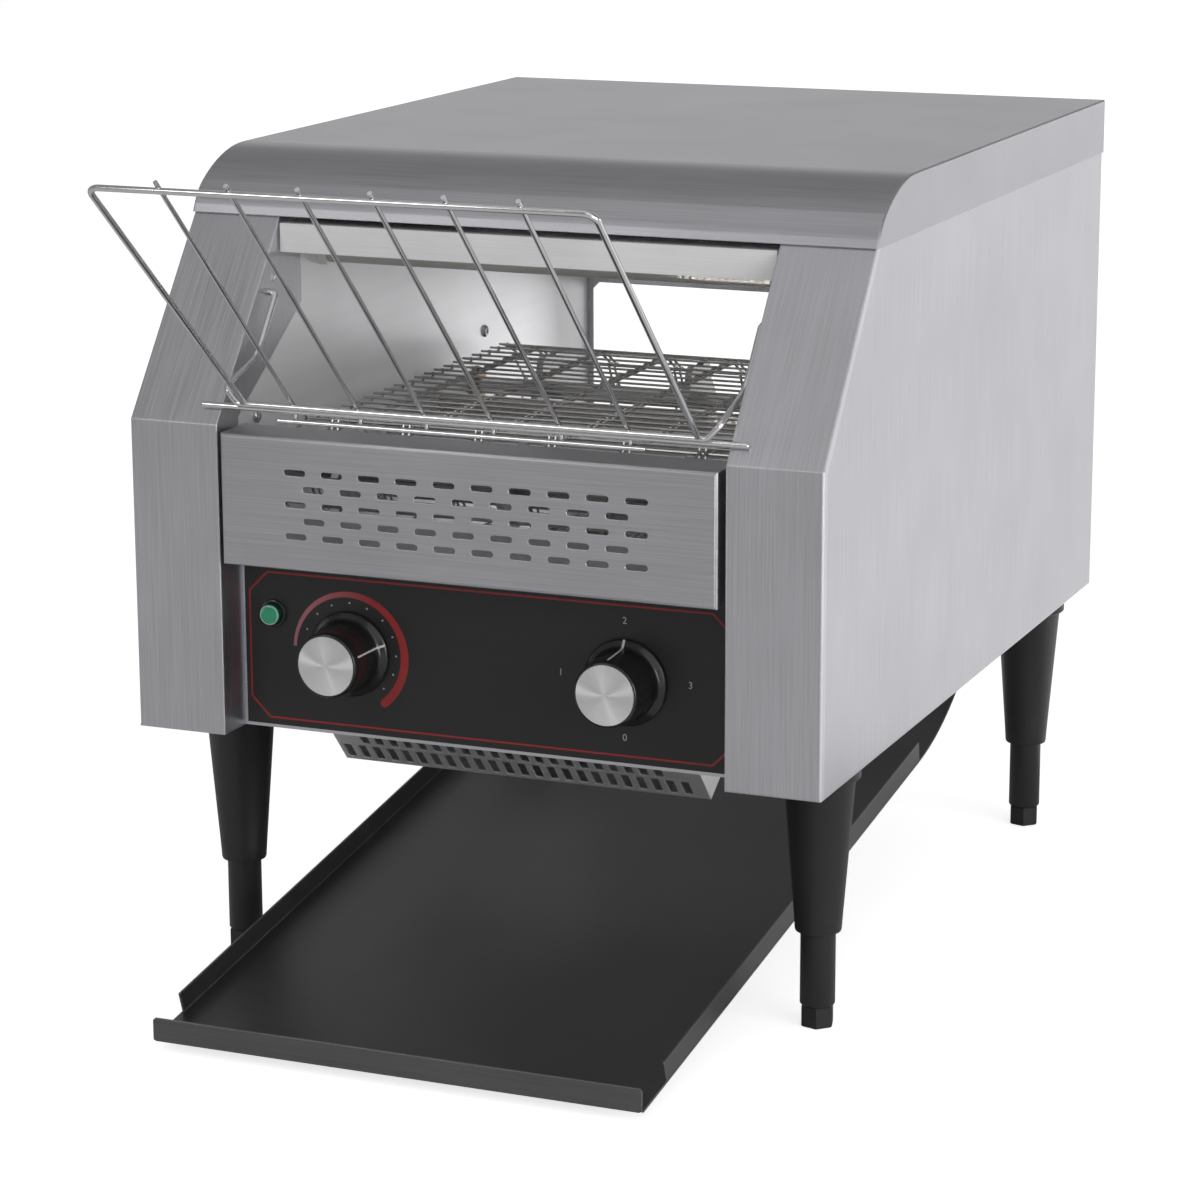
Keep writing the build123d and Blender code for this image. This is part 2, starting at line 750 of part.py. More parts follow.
with BuildPart() as upper_reflector:
    with BuildSketch(section(-lintel_half_width)):
        Polygon(
            (lintel_depth, reflector_top - lintel_height),
            (lintel_depth, reflector_top),
            (reflector_back, reflector_top),
            (reflector_back, reflector_top - lintel_height),
            (reflector_back - thin_sheet, reflector_top - lintel_height),
            (reflector_back - thin_sheet, reflector_top - thin_sheet),
            (lintel_depth + thin_sheet, reflector_top - thin_sheet),
            (lintel_depth + thin_sheet, reflector_top - lintel_height),
            align=None,
        )
    extrude(amount=2 * lintel_half_width)
    with BuildSketch(plan(reflector_top - thin_sheet)):
        with Locations((0, (reflector_wings + reflector_back) / 2)):
            Rectangle(2 * reflector_half_width, reflector_back - reflector_wings)
    extrude(amount=thin_sheet)
upper_reflector.part.label = "upper_reflector"
export_step(upper_reflector.part, "parts/upper_reflector.step")

lower_reflector_drop = 12.0
belt_clear = 8.0
lower_reflector_height = axis_height - lower_reflector_drop
lower_reflector_front = idler_depth + belt_radius + belt_clear
lower_reflector_back = drive_depth - belt_radius - belt_clear
reflector_side = 6.0
with BuildPart() as lower_reflector:
    with BuildSketch(plan(lower_reflector_height)):
        with Locations((0, (lower_reflector_front + lower_reflector_back) / 2)):
            Rectangle(2 * reflector_half_width, lower_reflector_back - lower_reflector_front)
    extrude(amount=-thin_sheet)
    with BuildSketch(plan(lower_reflector_height)):
        for depth in (lower_reflector_front + thin_sheet / 2, lower_reflector_back - thin_sheet / 2):
            with Locations((0, depth)):
                Rectangle(2 * (reflector_half_width - holder_radius), thin_sheet)
    extrude(amount=reflector_side)
lower_reflector.part.label = "lower_reflector"
export_step(lower_reflector.part, "parts/lower_reflector.step")

# ---------------------------------------------------------------- heaters
holder_length = 10.0
holder_reach = 5.0
tube_half_length = liner_inner - holder_reach
heater_groups = (
    ("upper_heaters", upper_heater_height, upper_heater_depths),
    ("lower_heaters", lower_heater_height, lower_heater_depths),
)
for name, height, depths in heater_groups:
    with BuildPart() as heaters:
        with BuildSketch(section(-tube_half_length)):
            with Locations(*[(depth, height) for depth in depths]):
                RegularPolygon(tube_radius, small_sides)
        extrude(amount=2 * tube_half_length)
    heaters.part.label = name
    export_step(heaters.part, f"parts/{name}.step")

with BuildPart() as heater_holders:
    for side in (-1, 1):
        with BuildSketch(section(side * tube_half_length)):
            with Locations(*heater_spots):
                RegularPolygon(holder_radius, holder_sides)
        extrude(amount=side * holder_length)
heater_holders.part.label = "heater_holders"
export_step(heater_holders.part, "parts/heater_holders.step")

# ---------------------------------------------------------------- wire link belt
# One strand is a straight rod whose ends turn back and hook under and round the next rod.
hook_drop = belt_wire + belt_hook_gap
hook_x = belt_half_width - belt_hook_inset
hook_past = belt_pitch + belt_hook_reach
half_strand = [
    (belt_half_width, 0, 0),
    (hook_x, belt_pitch - hook_drop, -hook_drop),
    (hook_x, hook_past, -hook_drop),
]
with BuildPart() as strand:
    with BuildLine() as strand_line:
        Polyline(*[(-x, y, z) for x, y, z in reversed(half_strand)], *half_strand)
    with BuildSketch(Plane(origin=strand_line.line @ 0, z_dir=strand_line.line % 0)):
        Rectangle(belt_wire, belt_wire)
    sweep(path=strand_line.line, transition=Transition.RIGHT)

belt_points = []
for index in range(belt_spaces + 1):
    belt_points.append((idler_depth + index * belt_pitch, axis_height + belt_radius))
for index in range(1, belt_teeth // 2):
    turn = radians(90 - index * 360 / belt_teeth)
    belt_points.append((drive_depth + belt_radius * cos(turn), axis_height + belt_radius * sin(turn)))
for index in range(belt_spaces + 1):
    belt_points.append((drive_depth - index * belt_pitch, axis_height - belt_radius))
for index in range(1, belt_teeth // 2):
    turn = radians(270 - index * 360 / belt_teeth)
    belt_points.append((idler_depth + belt_radius * cos(turn), axis_height + belt_radius * sin(turn)))
belt_planes = []
for here, after in zip(belt_points, belt_points[1:] + belt_points[:1]):
    along = Vector(0, after[0] - here[0], after[1] - here[1])
    belt_planes.append(
        Plane(origin=place(0, *here), x_dir=(1, 0, 0), z_dir=Vector(1, 0, 0).cross(along))
    )
with BuildPart() as conveyor_belt:
    with Locations(*belt_planes):
        add(strand.part)
conveyor_belt.part.label = "conveyor_belt"
export_step(conveyor_belt.part, "parts/conveyor_belt.step")

# ---------------------------------------------------------------- shafts and belt sprockets
wire_turn = radians(180 / belt_teeth)
wire_inside = belt_wire * (cos(wire_turn) + sin(wire_turn)) / 2
tip_radius = belt_radius - wire_inside - clearance / 2
root_radius = tip_radius - sprocket_tooth
sprocket_spacing = belt_half_width - sprocket_inset
shaft_overhang = 4.0
shaft_end = liner_outer + shaft_overhang
chain_x = liner_outer + chain_offset
shaft_ends = {"idler": shaft_end, "drive": chain_x + chain_width}
shaft_depths = {"idler": idler_depth, "drive": drive_depth}
for name in ("idler", "drive"):
    depth = shaft_depths[name]
    with BuildPart() as shaft:
        with BuildSketch(section(-shaft_end)):
            with Locations((depth, axis_height)):
                Circle(shaft_radius)
        extrude(amount=shaft_end + shaft_ends[name])
    shaft.part.label = f"{name}_shaft"
    export_step(shaft.part, f"parts/{name}_shaft.step")

    with BuildPart() as sprockets:
        for x in (-sprocket_spacing, 0, sprocket_spacing):
            with BuildSketch(section(x - sprocket_width / 2)):
                with Locations((depth, axis_height)):
                    Polygon(*teeth_outline(sprocket_teeth, root_radius, tip_radius, sprocket_tip_share), align=None)
                    RegularPolygon(shaft_radius + seam / 4, small_sides, False, mode=Mode.SUBTRACT)
            extrude(amount=sprocket_width)
    sprockets.part.label = f"{name}_sprockets"
    export_step(sprockets.part, f"parts/{name}_sprockets.step")

with BuildPart() as shaft_bushes:
    for side in (-1, 1):
        for depth in (idler_depth, drive_depth):
            with BuildSketch(section(side * (liner_inner - bush_flange - seam))):
                with Locations((depth, axis_height)):
                    RegularPolygon(bush_flange_radius, small_sides)
                    RegularPolygon(shaft_radius + shaft_running, small_sides, False, mode=Mode.SUBTRACT)
            extrude(amount=side * bush_flange)
            with BuildSketch(section(side * (liner_inner - seam))):
                with Locations((depth, axis_height)):
                    RegularPolygon(bush_radius, small_sides)
                    RegularPolygon(shaft_radius + shaft_running, small_sides, False, mode=Mode.SUBTRACT)
            extrude(amount=side * (thin_sheet + bush_flange))
shaft_bushes.part.label = "shaft_bushes"
export_step(shaft_bushes.part, "parts/shaft_bushes.step")

# ---------------------------------------------------------------- chain drive
link_shoulder = 0.24
link_height = 2 * (chain_roller_radius - link_shoulder)
plate_thickness = 0.6
link_play = 1.2
link_turn = radians(180 / chain_teeth)
link_length = chain_pitch - link_height * tan(link_turn) - seam
chain_tip = chain_radius * cos(link_turn) - link_height / 2 - clearance
chain_root = chain_tip - chain_tooth
wheel_width = chain_width - link_play
hub_radius = 8.0
shaft_gap = 1.5
motor_shaft_start = liner_outer + shaft_gap
motor_face = chain_x + chain_width + shaft_gap + thin_sheet
bracket_face = motor_face - panel_sheet - seam
chain_wheels = (("driven_chain_wheel", axis_height), ("motor_chain_wheel", motor_height))
for name, height in chain_wheels:
    with BuildPart() as chain_wheel:
        with BuildSketch(section(chain_x - wheel_width / 2)):
            with Locations((drive_depth, height)):
                Polygon(*teeth_outline(chain_teeth, chain_root, chain_tip, chain_tip_share), align=None)
                RegularPolygon(shaft_radius + seam / 4, small_sides, False, mode=Mode.SUBTRACT)
        extrude(amount=wheel_width)
        with BuildSketch(section(chain_x - wheel_width / 2)):
            with Locations((drive_depth, height)):
                RegularPolygon(hub_radius, small_sides)
                RegularPolygon(shaft_radius + seam / 4, small_sides, False, mode=Mode.SUBTRACT)
        extrude(amount=-(chain_offset - wheel_width) / 2)
    chain_wheel.part.label = name
    export_step(chain_wheel.part, f"parts/{name}.step")

with BuildPart() as motor_shaft:
    with BuildSketch(section(motor_shaft_start)):
        with Locations((drive_depth, motor_height)):
            Circle(shaft_radius)
    extrude(amount=motor_face + motor_length / 2 - motor_shaft_start)
motor_shaft.part.label = "motor_shaft"
export_step(motor_shaft.part, "parts/motor_shaft.step")

# Wide outer links and narrow inner links take turns round both wheels.
chain_points = []
for index in range(chain_teeth // 2 + 1):
    turn = radians(180 - index * 360 / chain_teeth)
    chain_points.append((drive_depth + chain_radius * cos(turn), axis_height + chain_radius * sin(turn)))
for index in range(1, chain_spaces):
    chain_points.append((drive_depth + chain_radius, axis_height - index * chain_pitch))
for index in range(chain_teeth // 2 + 1):
    turn = radians(-index * 360 / chain_teeth)
    chain_points.append((drive_depth + chain_radius * cos(turn), motor_height + chain_radius * sin(turn)))
for index in range(1, chain_spaces):
    chain_points.append((drive_depth - chain_radius, motor_height + index * chain_pitch))
link_widths = (chain_width, chain_width + 2 * plate_thickness)
links = list(zip(chain_points, chain_points[1:] + chain_points[:1]))
with BuildPart() as drive_chain:
    for kind, width in enumerate(link_widths):
        with BuildSketch(section(chain_x)):
            for here, after in links[kind::2]:
                middle = ((here[0] + after[0]) / 2, (here[1] + after[1]) / 2)
                turn = degrees(atan2(after[1] - here[1], after[0] - here[0]))
                with Locations(Location((*middle, 0), (0, 0, turn))):
                    Rectangle(link_length, link_height)
        extrude(amount=width / 2, both=True)
drive_chain.part.label = "drive_chain"
export_step(drive_chain.part, "parts/drive_chain.step")

# ---------------------------------------------------------------- gear motor and its bracket
motor_offset = 12.0
motor_body_depth = drive_depth - motor_offset
with BuildPart() as gear_motor:
    with BuildSketch(section(motor_face)):
        with Locations((motor_body_depth, motor_height)):
            RegularPolygon(motor_radius, 2 * round_sides)
        with Locations((drive_depth, motor_height)):
            RegularPolygon(shaft_radius + shaft_running, round_sides, False, mode=Mode.SUBTRACT)
    extrude(amount=motor_length)
gear_motor.part.label = "gear_motor"
export_step(gear_motor.part, "parts/gear_motor.step")

bracket_half = 38.0
bracket_foot = 9.0
with BuildPart() as motor_bracket:
    with BuildSketch(section(bracket_face)):
        with Locations((motor_body_depth, motor_height)):
            Rectangle(2 * bracket_half, 2 * motor_radius)
        with Locations((drive_depth, motor_height)):
            RegularPolygon(hub_radius + thin_sheet, round_sides, mode=Mode.SUBTRACT)
    extrude(amount=panel_sheet)
    for side in (-1, 1):
        with BuildSketch(section(liner_outer + seam)):
            with Locations((motor_body_depth + side * (bracket_half - panel_sheet / 2), motor_height)):
                Rectangle(panel_sheet, 2 * motor_radius)
        extrude(amount=bracket_face - liner_outer - seam)
        with BuildSketch(section(liner_outer + seam)):
            with Locations((motor_body_depth + side * (bracket_half + bracket_foot / 2), motor_height)):
                Rectangle(bracket_foot + 2 * panel_sheet, 2 * motor_radius)
        extrude(amount=panel_sheet)
motor_bracket.part.label = "motor_bracket"
export_step(motor_bracket.part, "parts/motor_bracket.step")

# ---------------------------------------------------------------- control box shield
shield_height = vent_bottom + thin_sheet
shield_gap = 2.0
shield_back = fan_depth + fan_size / 2 + shield_gap
with BuildPart() as box_shield:
    with BuildSketch(section(-panel_half_width + seam)):
        Polygon(
            (control_back + seam, shield_height),
            (control_back + seam, shield_height + thin_sheet),
            (shield_back + thin_sheet, shield_height + thin_sheet),
            (shield_back + thin_sheet, base_top + seam),
            (shield_back, base_top + seam),
            (shield_back, shield_height),
            align=None,
        )
    extrude(amount=2 * (panel_half_width - seam))
box_shield.part.label = "box_shield"
export_step(box_shield.part, "parts/box_shield.step")

# ---------------------------------------------------------------- cooling fan
fan_floor = base_top + seam
fan_bore = air_opening_radius
fan_arm = 5.0
fan_arm_height = 3.0
with BuildPart() as fan_frame:
    with BuildSketch(plan(fan_floor)):
        with Locations((0, fan_depth)):
            Rectangle(fan_size, fan_size)
            RegularPolygon(fan_bore, 2 * round_sides, False, mode=Mode.SUBTRACT)
    extrude(amount=fan_height)
    with BuildSketch(plan(fan_floor)):
        with Locations((0, fan_depth)):
            RegularPolygon(fan_hub_radius, round_sides)
            Rectangle(2 * fan_bore + thin_sheet, fan_arm)
            Rectangle(fan_arm, 2 * fan_bore + thin_sheet)
    extrude(amount=fan_arm_height)
fan_frame.part.label = "fan_frame"
export_step(fan_frame.part, "parts/fan_frame.step")

impeller_floor = fan_floor + fan_arm_height + clearance
impeller_height = fan_height - fan_arm_height - 3 * clearance
blade_pitch = 38.0
blade_length = fan_bore - fan_blade_gap - fan_hub_radius
blade_chord = 17.0
blade_thickness = 1.5
with BuildPart() as fan_impeller:
    with BuildSketch(plan(impeller_floor)):
        with Locations((0, fan_depth)):
            Circle(fan_hub_radius)
    extrude(amount=impeller_height)
    with Locations(place(0, fan_depth, impeller_floor + impeller_height / 2)):
        with PolarLocations(fan_hub_radius + blade_length / 2 - clearance, fan_blades):
            with Locations(Location((0, 0, 0), (blade_pitch, 0, 0))):
                Box(blade_length, blade_chord, blade_thickness)
fan_impeller.part.label = "fan_impeller"
export_step(fan_impeller.part, "parts/fan_impeller.step")

# ---------------------------------------------------------------- terminal block and limiter
block_length = 50.0
block_width = 22.0
block_height = 18.0
block_inset = 105.0
block_gap = 2.0
block_depth = body_depth - block_inset
with BuildPart() as terminal_block:
    with BuildSketch(plan(base_top)):
        with Locations((-rear_vent_x - block_gap, block_depth)):
            Rectangle(block_width, block_length)
    extrude(amount=block_height)
    with BuildSketch(plan(base_top + block_height)):
        with Locations((-rear_vent_x - block_gap, block_depth)):
            with GridLocations(block_width / 2, block_length / 5, 2, 4):
                Rectangle(block_width / 4, block_length / 8)
    extrude(amount=-block_height / 3, mode=Mode.SUBTRACT)
terminal_block.part.label = "terminal_block"
export_step(terminal_block.part, "parts/terminal_block.step")

limiter_radius = 10.0
limiter_strap = 32.0
limiter_depth = 205.0
limiter_thickness = 7.0
limiter_rise = 35.0
limiter_height = crease + limiter_rise
with BuildPart() as thermal_limiter:
    with BuildSketch(section(-liner_outer - seam)):
        with Locations((limiter_depth, limiter_height)):
            RegularPolygon(limiter_radius, round_sides)
    extrude(amount=-limiter_thickness)
    with BuildSketch(section(-liner_outer - seam)):
        with Locations((limiter_depth, limiter_height)):
            Rectangle(limiter_strap, limiter_radius)
    extrude(amount=-thin_sheet)
thermal_limiter.part.label = "thermal_limiter"
export_step(thermal_limiter.part, "parts/thermal_limiter.step")

# ---------------------------------------------------------------- legs
leg_x = half_width - leg_inset
sleeve_top = bottom - seam
sleeve_wall_gap = foot_radius + foot_running
bore_spare = 8.0
bore_top = sleeve_bottom + foot_overlap + bore_spare
sleeve_cone = sleeve_top - sleeve_flange - sleeve_bottom
sleeve_widening = (sleeve_top_radius - sleeve_bottom_radius) * cos(pi / leg_sides)
leg_places = {
    "front_left": (-leg_x, leg_front_depth),
    "front_right": (leg_x, leg_front_depth),
    "rear_left": (-leg_x, leg_rear_depth),
    "rear_right": (leg_x, leg_rear_depth),
}
for name, (x, depth) in leg_places.items():
    with BuildPart() as sleeve:
        with BuildSketch(Plane(origin=place(x, depth, sleeve_bottom))):
            RegularPolygon(sleeve_top_radius, leg_sides)
        extrude(amount=sleeve_top - sleeve_bottom)
        sleeve_end = sleeve.faces().sort_by(Axis.Z)[0]
        chamfer(sleeve_end.edges(), sleeve_widening, sleeve_cone, reference=sleeve_end)
        with BuildSketch(Plane(origin=place(x, depth, sleeve_top))):
            RegularPolygon(sleeve_flange_radius, leg_sides)
        extrude(amount=-sleeve_flange)
        with BuildSketch(Plane(origin=place(x, depth, sleeve_top))):
            RegularPolygon(stud_radius, small_sides)
        extrude(amount=base_top + panel_sheet - sleeve_top)
        with BuildSketch(Plane(origin=place(x, depth, sleeve_bottom))):
            RegularPolygon(sleeve_wall_gap, round_sides)
        extrude(amount=bore_top - sleeve_bottom, mode=Mode.SUBTRACT)
    sleeve.part.label = f"leg_{name}"
    export_step(sleeve.part, f"parts/leg_{name}.step")

    with BuildPart() as foot:
        with BuildSketch(Plane(origin=place(x, depth, 0))):
            RegularPolygon(foot_radius, 6)
        extrude(amount=hex_height)
        with BuildSketch(Plane(origin=place(x, depth, hex_height))):
            RegularPolygon(foot_radius, round_sides)
        extrude(amount=sleeve_bottom + foot_overlap - hex_height)
    foot.part.label = f"foot_{name}"
    export_step(foot.part, f"parts/foot_{name}.step")

# ---------------------------------------------------------------- toast tray
# The floor slopes up from the front lip and turns into a curved ramp under the belt's end.
slope = radians(tray_slope)
floor_front = -tray_reach
ramp_start_height = tray_clear + (ramp_start - floor_front) * tan(slope)
ramp_centre_depth = ramp_start - ramp_radius * sin(slope)
ramp_centre_height = ramp_start_height + ramp_radius * cos(slope)
ramp_inner = ramp_radius - thin_sheet
end_angle = radians(ramp_end_angle)
tray_half = tray_width / 2
wall_start = floor_front + tray_wall_start
wall_rake = 4.0
lip_inset = 0.5
runner_play = 1.8


def floor_height(depth):
    """Height of the tray floor's upper face at a depth."""
    return tray_clear + (depth - floor_front) * tan(slope) + thin_sheet / cos(slope)


def ramp_point(angle, radius):
    """Point of the ramp's section at an angle from straight down."""
    return (ramp_centre_depth + radius * sin(angle), ramp_centre_height - radius * cos(angle))


runner_height = bottom + runner_rise
runner_outer = liner_inner - runner_play
cheek_inner = tray_half - thin_sheet
with BuildPart() as toast_tray:
    with BuildSketch(section(-tray_half)):
        with BuildLine():
            under = Line((floor_front, tray_clear), ramp_point(slope, ramp_radius))
            middle_angle = (slope + end_angle) / 2
            outer_arc = ThreePointArc(
                under @ 1, ramp_point(middle_angle, ramp_radius), ramp_point(end_angle, ramp_radius)
            )
            tip_line = Line(outer_arc @ 1, ramp_point(end_angle, ramp_inner))
            inner_arc = ThreePointArc(
                tip_line @ 1, ramp_point(middle_angle, ramp_inner), ramp_point(slope, ramp_inner)
            )
            Polyline(inner_arc @ 1, (floor_front, floor_height(floor_front)), under @ 0)
        make_face()
    extrude(amount=tray_width)
    # Front lip, folded upright
    with BuildSketch(facing(floor_front - thin_sheet)):
        with Locations((0, tray_clear + tray_lip / 2)):
            Polygon(*cut_rectangle(tray_width - 2 * lip_inset, tray_lip, bend_radius))
    extrude(amount=-thin_sheet)
    for side in (-1, 1):
        with BuildSketch(section(side * tray_half)):
            Polygon(
                (wall_start, floor_height(wall_start) - thin_sheet),
                (ramp_start, floor_height(ramp_start) - thin_sheet),
                (ramp_start - tray_wall * sin(slope), floor_height(ramp_start) + tray_wall),
                (wall_start - wall_rake, floor_height(wall_start - wall_rake) + tray_wall),
                align=None,
            )
        extrude(amount=-side * thin_sheet)
        # Cheek that carries the runner, hidden between the inner walls
        with BuildSketch(section(side * tray_half)):
            with BuildLine():
                cheek_low = ThreePointArc(
                    ramp_point(radians(40), ramp_inner),
                    ramp_point(radians(50), ramp_inner),
                    ramp_point(end_angle, ramp_inner),
                )
                Polyline(
                    cheek_low @ 1,
                    (runner_end, runner_height),
                    (runner_start, runner_height),
                    (runner_start, runner_height - tray_wall),
                    cheek_low @ 0,
                )
            make_face()
        extrude(amount=-side * thin_sheet)
        with BuildSketch(plan(runner_height)):
            with Locations((side * (runner_outer + cheek_inner) / 2, (runner_start + runner_end) / 2)):
                Rectangle(runner_outer - cheek_inner, runner_end - runner_start)
        extrude(amount=-panel_sheet)
toast_tray.part.label = "toast_tray"
export_step(toast_tray.part, "parts/toast_tray.step")

# ---------------------------------------------------------------- tray rails
# Open channels on the inner walls, in which the tray's runners slide.
rail_spare = 4.0
rail_front = runner_start - tray_travel - rail_spare
rail_back = runner_end + rail_spare
rail_inner = tray_half + 2 * clearance
rail_gap = 0.25
for side, name in ((-1, "left"), (1, "right")):
    rail_low = runner_height - panel_sheet - rail_gap - thin_sheet
    rail_high = runner_height + rail_gap + thin_sheet
    with BuildPart() as tray_rail:
        with BuildSketch(facing(rail_front)):
            with Locations((side * (rail_inner + liner_inner - seam) / 2, (rail_low + rail_high) / 2)):
                Rectangle(liner_inner - seam - rail_inner, rail_high - rail_low)
            slot_outer = liner_inner - seam - thin_sheet
            with Locations((side * (rail_inner + slot_outer) / 2, (rail_low + rail_high) / 2)):
                Rectangle(
                    slot_outer - rail_inner,
                    rail_high - rail_low - 2 * thin_sheet,
                    mode=Mode.SUBTRACT,
                )
        extrude(amount=rail_front - rail_back)
    tray_rail.part.label = f"tray_rail_{name}"
    export_step(tray_rail.part, f"parts/tray_rail_{name}.step")

# ---------------------------------------------------------------- loading rack
# Frame, hanger and rods are bright wire in one plane; the bars lie behind them.
hook_tip = arm_offset + hook_length
wire_bend = 2.0 * rack_wire
half_hanger = [
    (hook_tip, pivot_depth, pivot_height),
    (arm_offset, pivot_depth, pivot_height),
    (arm_offset, arm_bend_depth, crease + arm_bend_rise),
    (arm_offset, arm_low_depth, crease + arm_low_rise),
    (arm_offset - wire_bend, cross_depth, cross_height),
]
hanger_points = [place(-x, d, h) for x, d, h in half_hanger] + [place(*p) for p in half_hanger[::-1]]
hanger_cuts = [rack_wire / 2, 2 * wire_bend, rack_wire / 2, rack_wire / 2]
with BuildPart() as rack_hanger:
    with BuildLine() as hanger_line:
        Polyline(*bent_wire(hanger_points, hanger_cuts + hanger_cuts[::-1]))
    with BuildSketch(Plane(origin=hanger_line.line @ 0, z_dir=hanger_line.line % 0)):
        RegularPolygon(rack_wire / 2, small_sides)
    sweep(path=hanger_line.line, transition=Transition.RIGHT)
rack_hanger.part.label = "rack_hanger"
export_step(rack_hanger.part, "parts/rack_hanger.step")

frame_foot_depth = cross_depth - (rack_wire / 2 + seam) * rack_run
frame_foot_height = cross_height + (rack_wire / 2 + seam) * rack_rise
frame_points = [
    place(-rack_foot_half_width, frame_foot_depth, frame_foot_height),
    place(-rack_half_width, rack_top_depth, rack_top_height),
    place(rack_half_width, rack_top_depth, rack_top_height),
    place(rack_foot_half_width, frame_foot_depth, frame_foot_height),
]
with BuildPart() as rack_frame:
    with BuildLine() as frame_line:
        Polyline(*bent_wire(frame_points, [rack_corner_cut, rack_corner_cut]))
    with BuildSketch(Plane(origin=frame_line.line @ 0, z_dir=frame_line.line % 0)):
        RegularPolygon(rack_wire / 2, small_sides)
    sweep(path=frame_line.line, transition=Transition.RIGHT)
rack_frame.part.label = "rack_frame"
export_step(rack_frame.part, "parts/rack_frame.step")


def bar_point(along):
    """Depth and height on the bars' centre line, measured up the rack from the cross wire."""
    return (
        cross_depth - along * rack_run + bar_offset * rack_rise,
        cross_height + along * rack_rise + bar_offset * rack_run,
    )


bar_top = bar_point(rack_length + bar_head)
bar_bend = bar_point(-rack_wire - bar_wire)
bar_end = (bar_bend[0], bar_bend[1] - bar_foot)
with BuildPart() as rack_bars:
    for index in range(bar_count):
        x = (index - (bar_count - 1) / 2) * bar_spacing
        with BuildLine() as bar_line:
            Polyline(place(x, *bar_top), place(x - bar_skew, *bar_bend), place(x - bar_skew, *bar_end))
        with BuildSketch(Plane(origin=bar_line.line @ 0, z_dir=bar_line.line % 0)):
            RegularPolygon(bar_wire / 2, small_sides)
        sweep(path=bar_line.line, transition=Transition.RIGHT)
rack_bars.part.label = "rack_bars"
export_step(rack_bars.part, "parts/rack_bars.step")

# The long rod rests on the columns; the short one ties the lower ends of the bars.
short_rod_depth = bar_end[0] - bar_wire - contact_gap
short_rod_half_length = bar_spacing * (bar_count - 1) / 2 + short_rod_overhang
stop_half_length = column_inner + stop_overlap
with BuildPart() as rack_rods:
    with BuildSketch(section(-stop_half_length)):
        with Locations((stop_depth, stop_height)):
            RegularPolygon(rack_wire / 2, small_sides)
    extrude(amount=2 * stop_half_length)
    with BuildSketch(section(-short_rod_half_length - bar_skew)):
        with Locations((short_rod_depth, bar_end[1] + bar_wire / 2)):
            RegularPolygon(bar_wire / 2, small_sides)
    extrude(amount=2 * short_rod_half_length)
rack_rods.part.label = "rack_rods"
export_step(rack_rods.part, "parts/rack_rods.step")

# ---------------------------------------------------------------- screws
screw_head_radius = 3.6
screw_head = 2.0
cover_screw_height = skirt + skirt_height / 2
wall_screw_depth = 328.0
wall_screw_rise = -4.3
cover_screw_inset = 46.0
cover_screw_x = half_width - cover_screw_inset
flange_bolt_depth = 44.6
flange_bolt_rise = -3.5
flange_bolt_radius = 5.0
with BuildPart() as screws:
    # On the cover's rear skirt
    with BuildSketch(facing(cover_rear + seam)):
        with Locations(*[(x, cover_screw_height) for x in (-cover_screw_x, 0, cover_screw_x)]):
            RegularPolygon(screw_head_radius, 6)
    extrude(amount=-screw_head)
    # On the rear panel
    rear_screws = [
        (side * (rear_half_width - 7), height)
        for side in (-1, 1)
        for height in (bottom + 12, (bottom + skirt) / 2 - 20, skirt - 12)
    ]
    with BuildSketch(facing(body_depth + seam)):
        with Locations(*rear_screws):
            RegularPolygon(screw_head_radius, 6)
    extrude(amount=-screw_head)
    # Inside the chamber, on both inner walls
    for side in (-1, 1):
        with BuildSketch(section(side * (liner_inner - seam))):
            with Locations((wall_screw_depth, crease + wall_screw_rise)):
                RegularPolygon(screw_head_radius, 6)
            with Locations((flange_bolt_depth, crease + flange_bolt_rise)):
                RegularPolygon(flange_bolt_radius, 6)
        extrude(amount=-side * screw_head)
screws.part.label = "screws"
export_step(screws.part, "parts/screws.step")
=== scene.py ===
"""Finish, wire work and studio for a conveyor toaster, built around its CAD frame."""

import math

import bmesh
import bpy
from bpy.props import FloatProperty, FloatVectorProperty, IntProperty, PointerProperty
from mathutils import Matrix, Vector


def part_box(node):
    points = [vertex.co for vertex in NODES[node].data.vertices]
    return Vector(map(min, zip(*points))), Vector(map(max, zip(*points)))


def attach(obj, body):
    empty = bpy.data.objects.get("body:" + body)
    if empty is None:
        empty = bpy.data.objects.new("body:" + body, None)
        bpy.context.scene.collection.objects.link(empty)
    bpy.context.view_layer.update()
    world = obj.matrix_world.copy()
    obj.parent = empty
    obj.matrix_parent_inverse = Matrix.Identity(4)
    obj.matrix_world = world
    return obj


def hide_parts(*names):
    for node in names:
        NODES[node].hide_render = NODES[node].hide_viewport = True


bl_info = {
    "name": "Conveyor toaster",
    "version": (1, 0, 0),
    "blender": (4, 5, 0),
    "location": "View3D > Sidebar > Toaster",
    "description": "Builds the finishes, wire work, controls and studio of a conveyor toaster",
    "category": "Object",
}

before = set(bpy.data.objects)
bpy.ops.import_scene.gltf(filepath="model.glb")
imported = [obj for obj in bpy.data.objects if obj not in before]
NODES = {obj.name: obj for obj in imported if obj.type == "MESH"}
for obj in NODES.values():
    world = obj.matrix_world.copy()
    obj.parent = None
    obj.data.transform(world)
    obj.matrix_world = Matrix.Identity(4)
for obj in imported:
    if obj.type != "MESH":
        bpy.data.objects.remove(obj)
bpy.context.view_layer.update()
MM = 0.001
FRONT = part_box("side_panel_right")[0].y
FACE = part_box("control_face")[0].y

# Directions, and the turn that makes a flat drawing stand and face the front
TO_RIGHT = Vector((1, 0, 0))
TO_FRONT = Vector((0, -1, 0))
TO_BACK = Vector((0, 1, 0))
UPWARDS = Vector((0, 0, 1))
STANDING = Matrix.Rotation(math.radians(90), 4, "X")


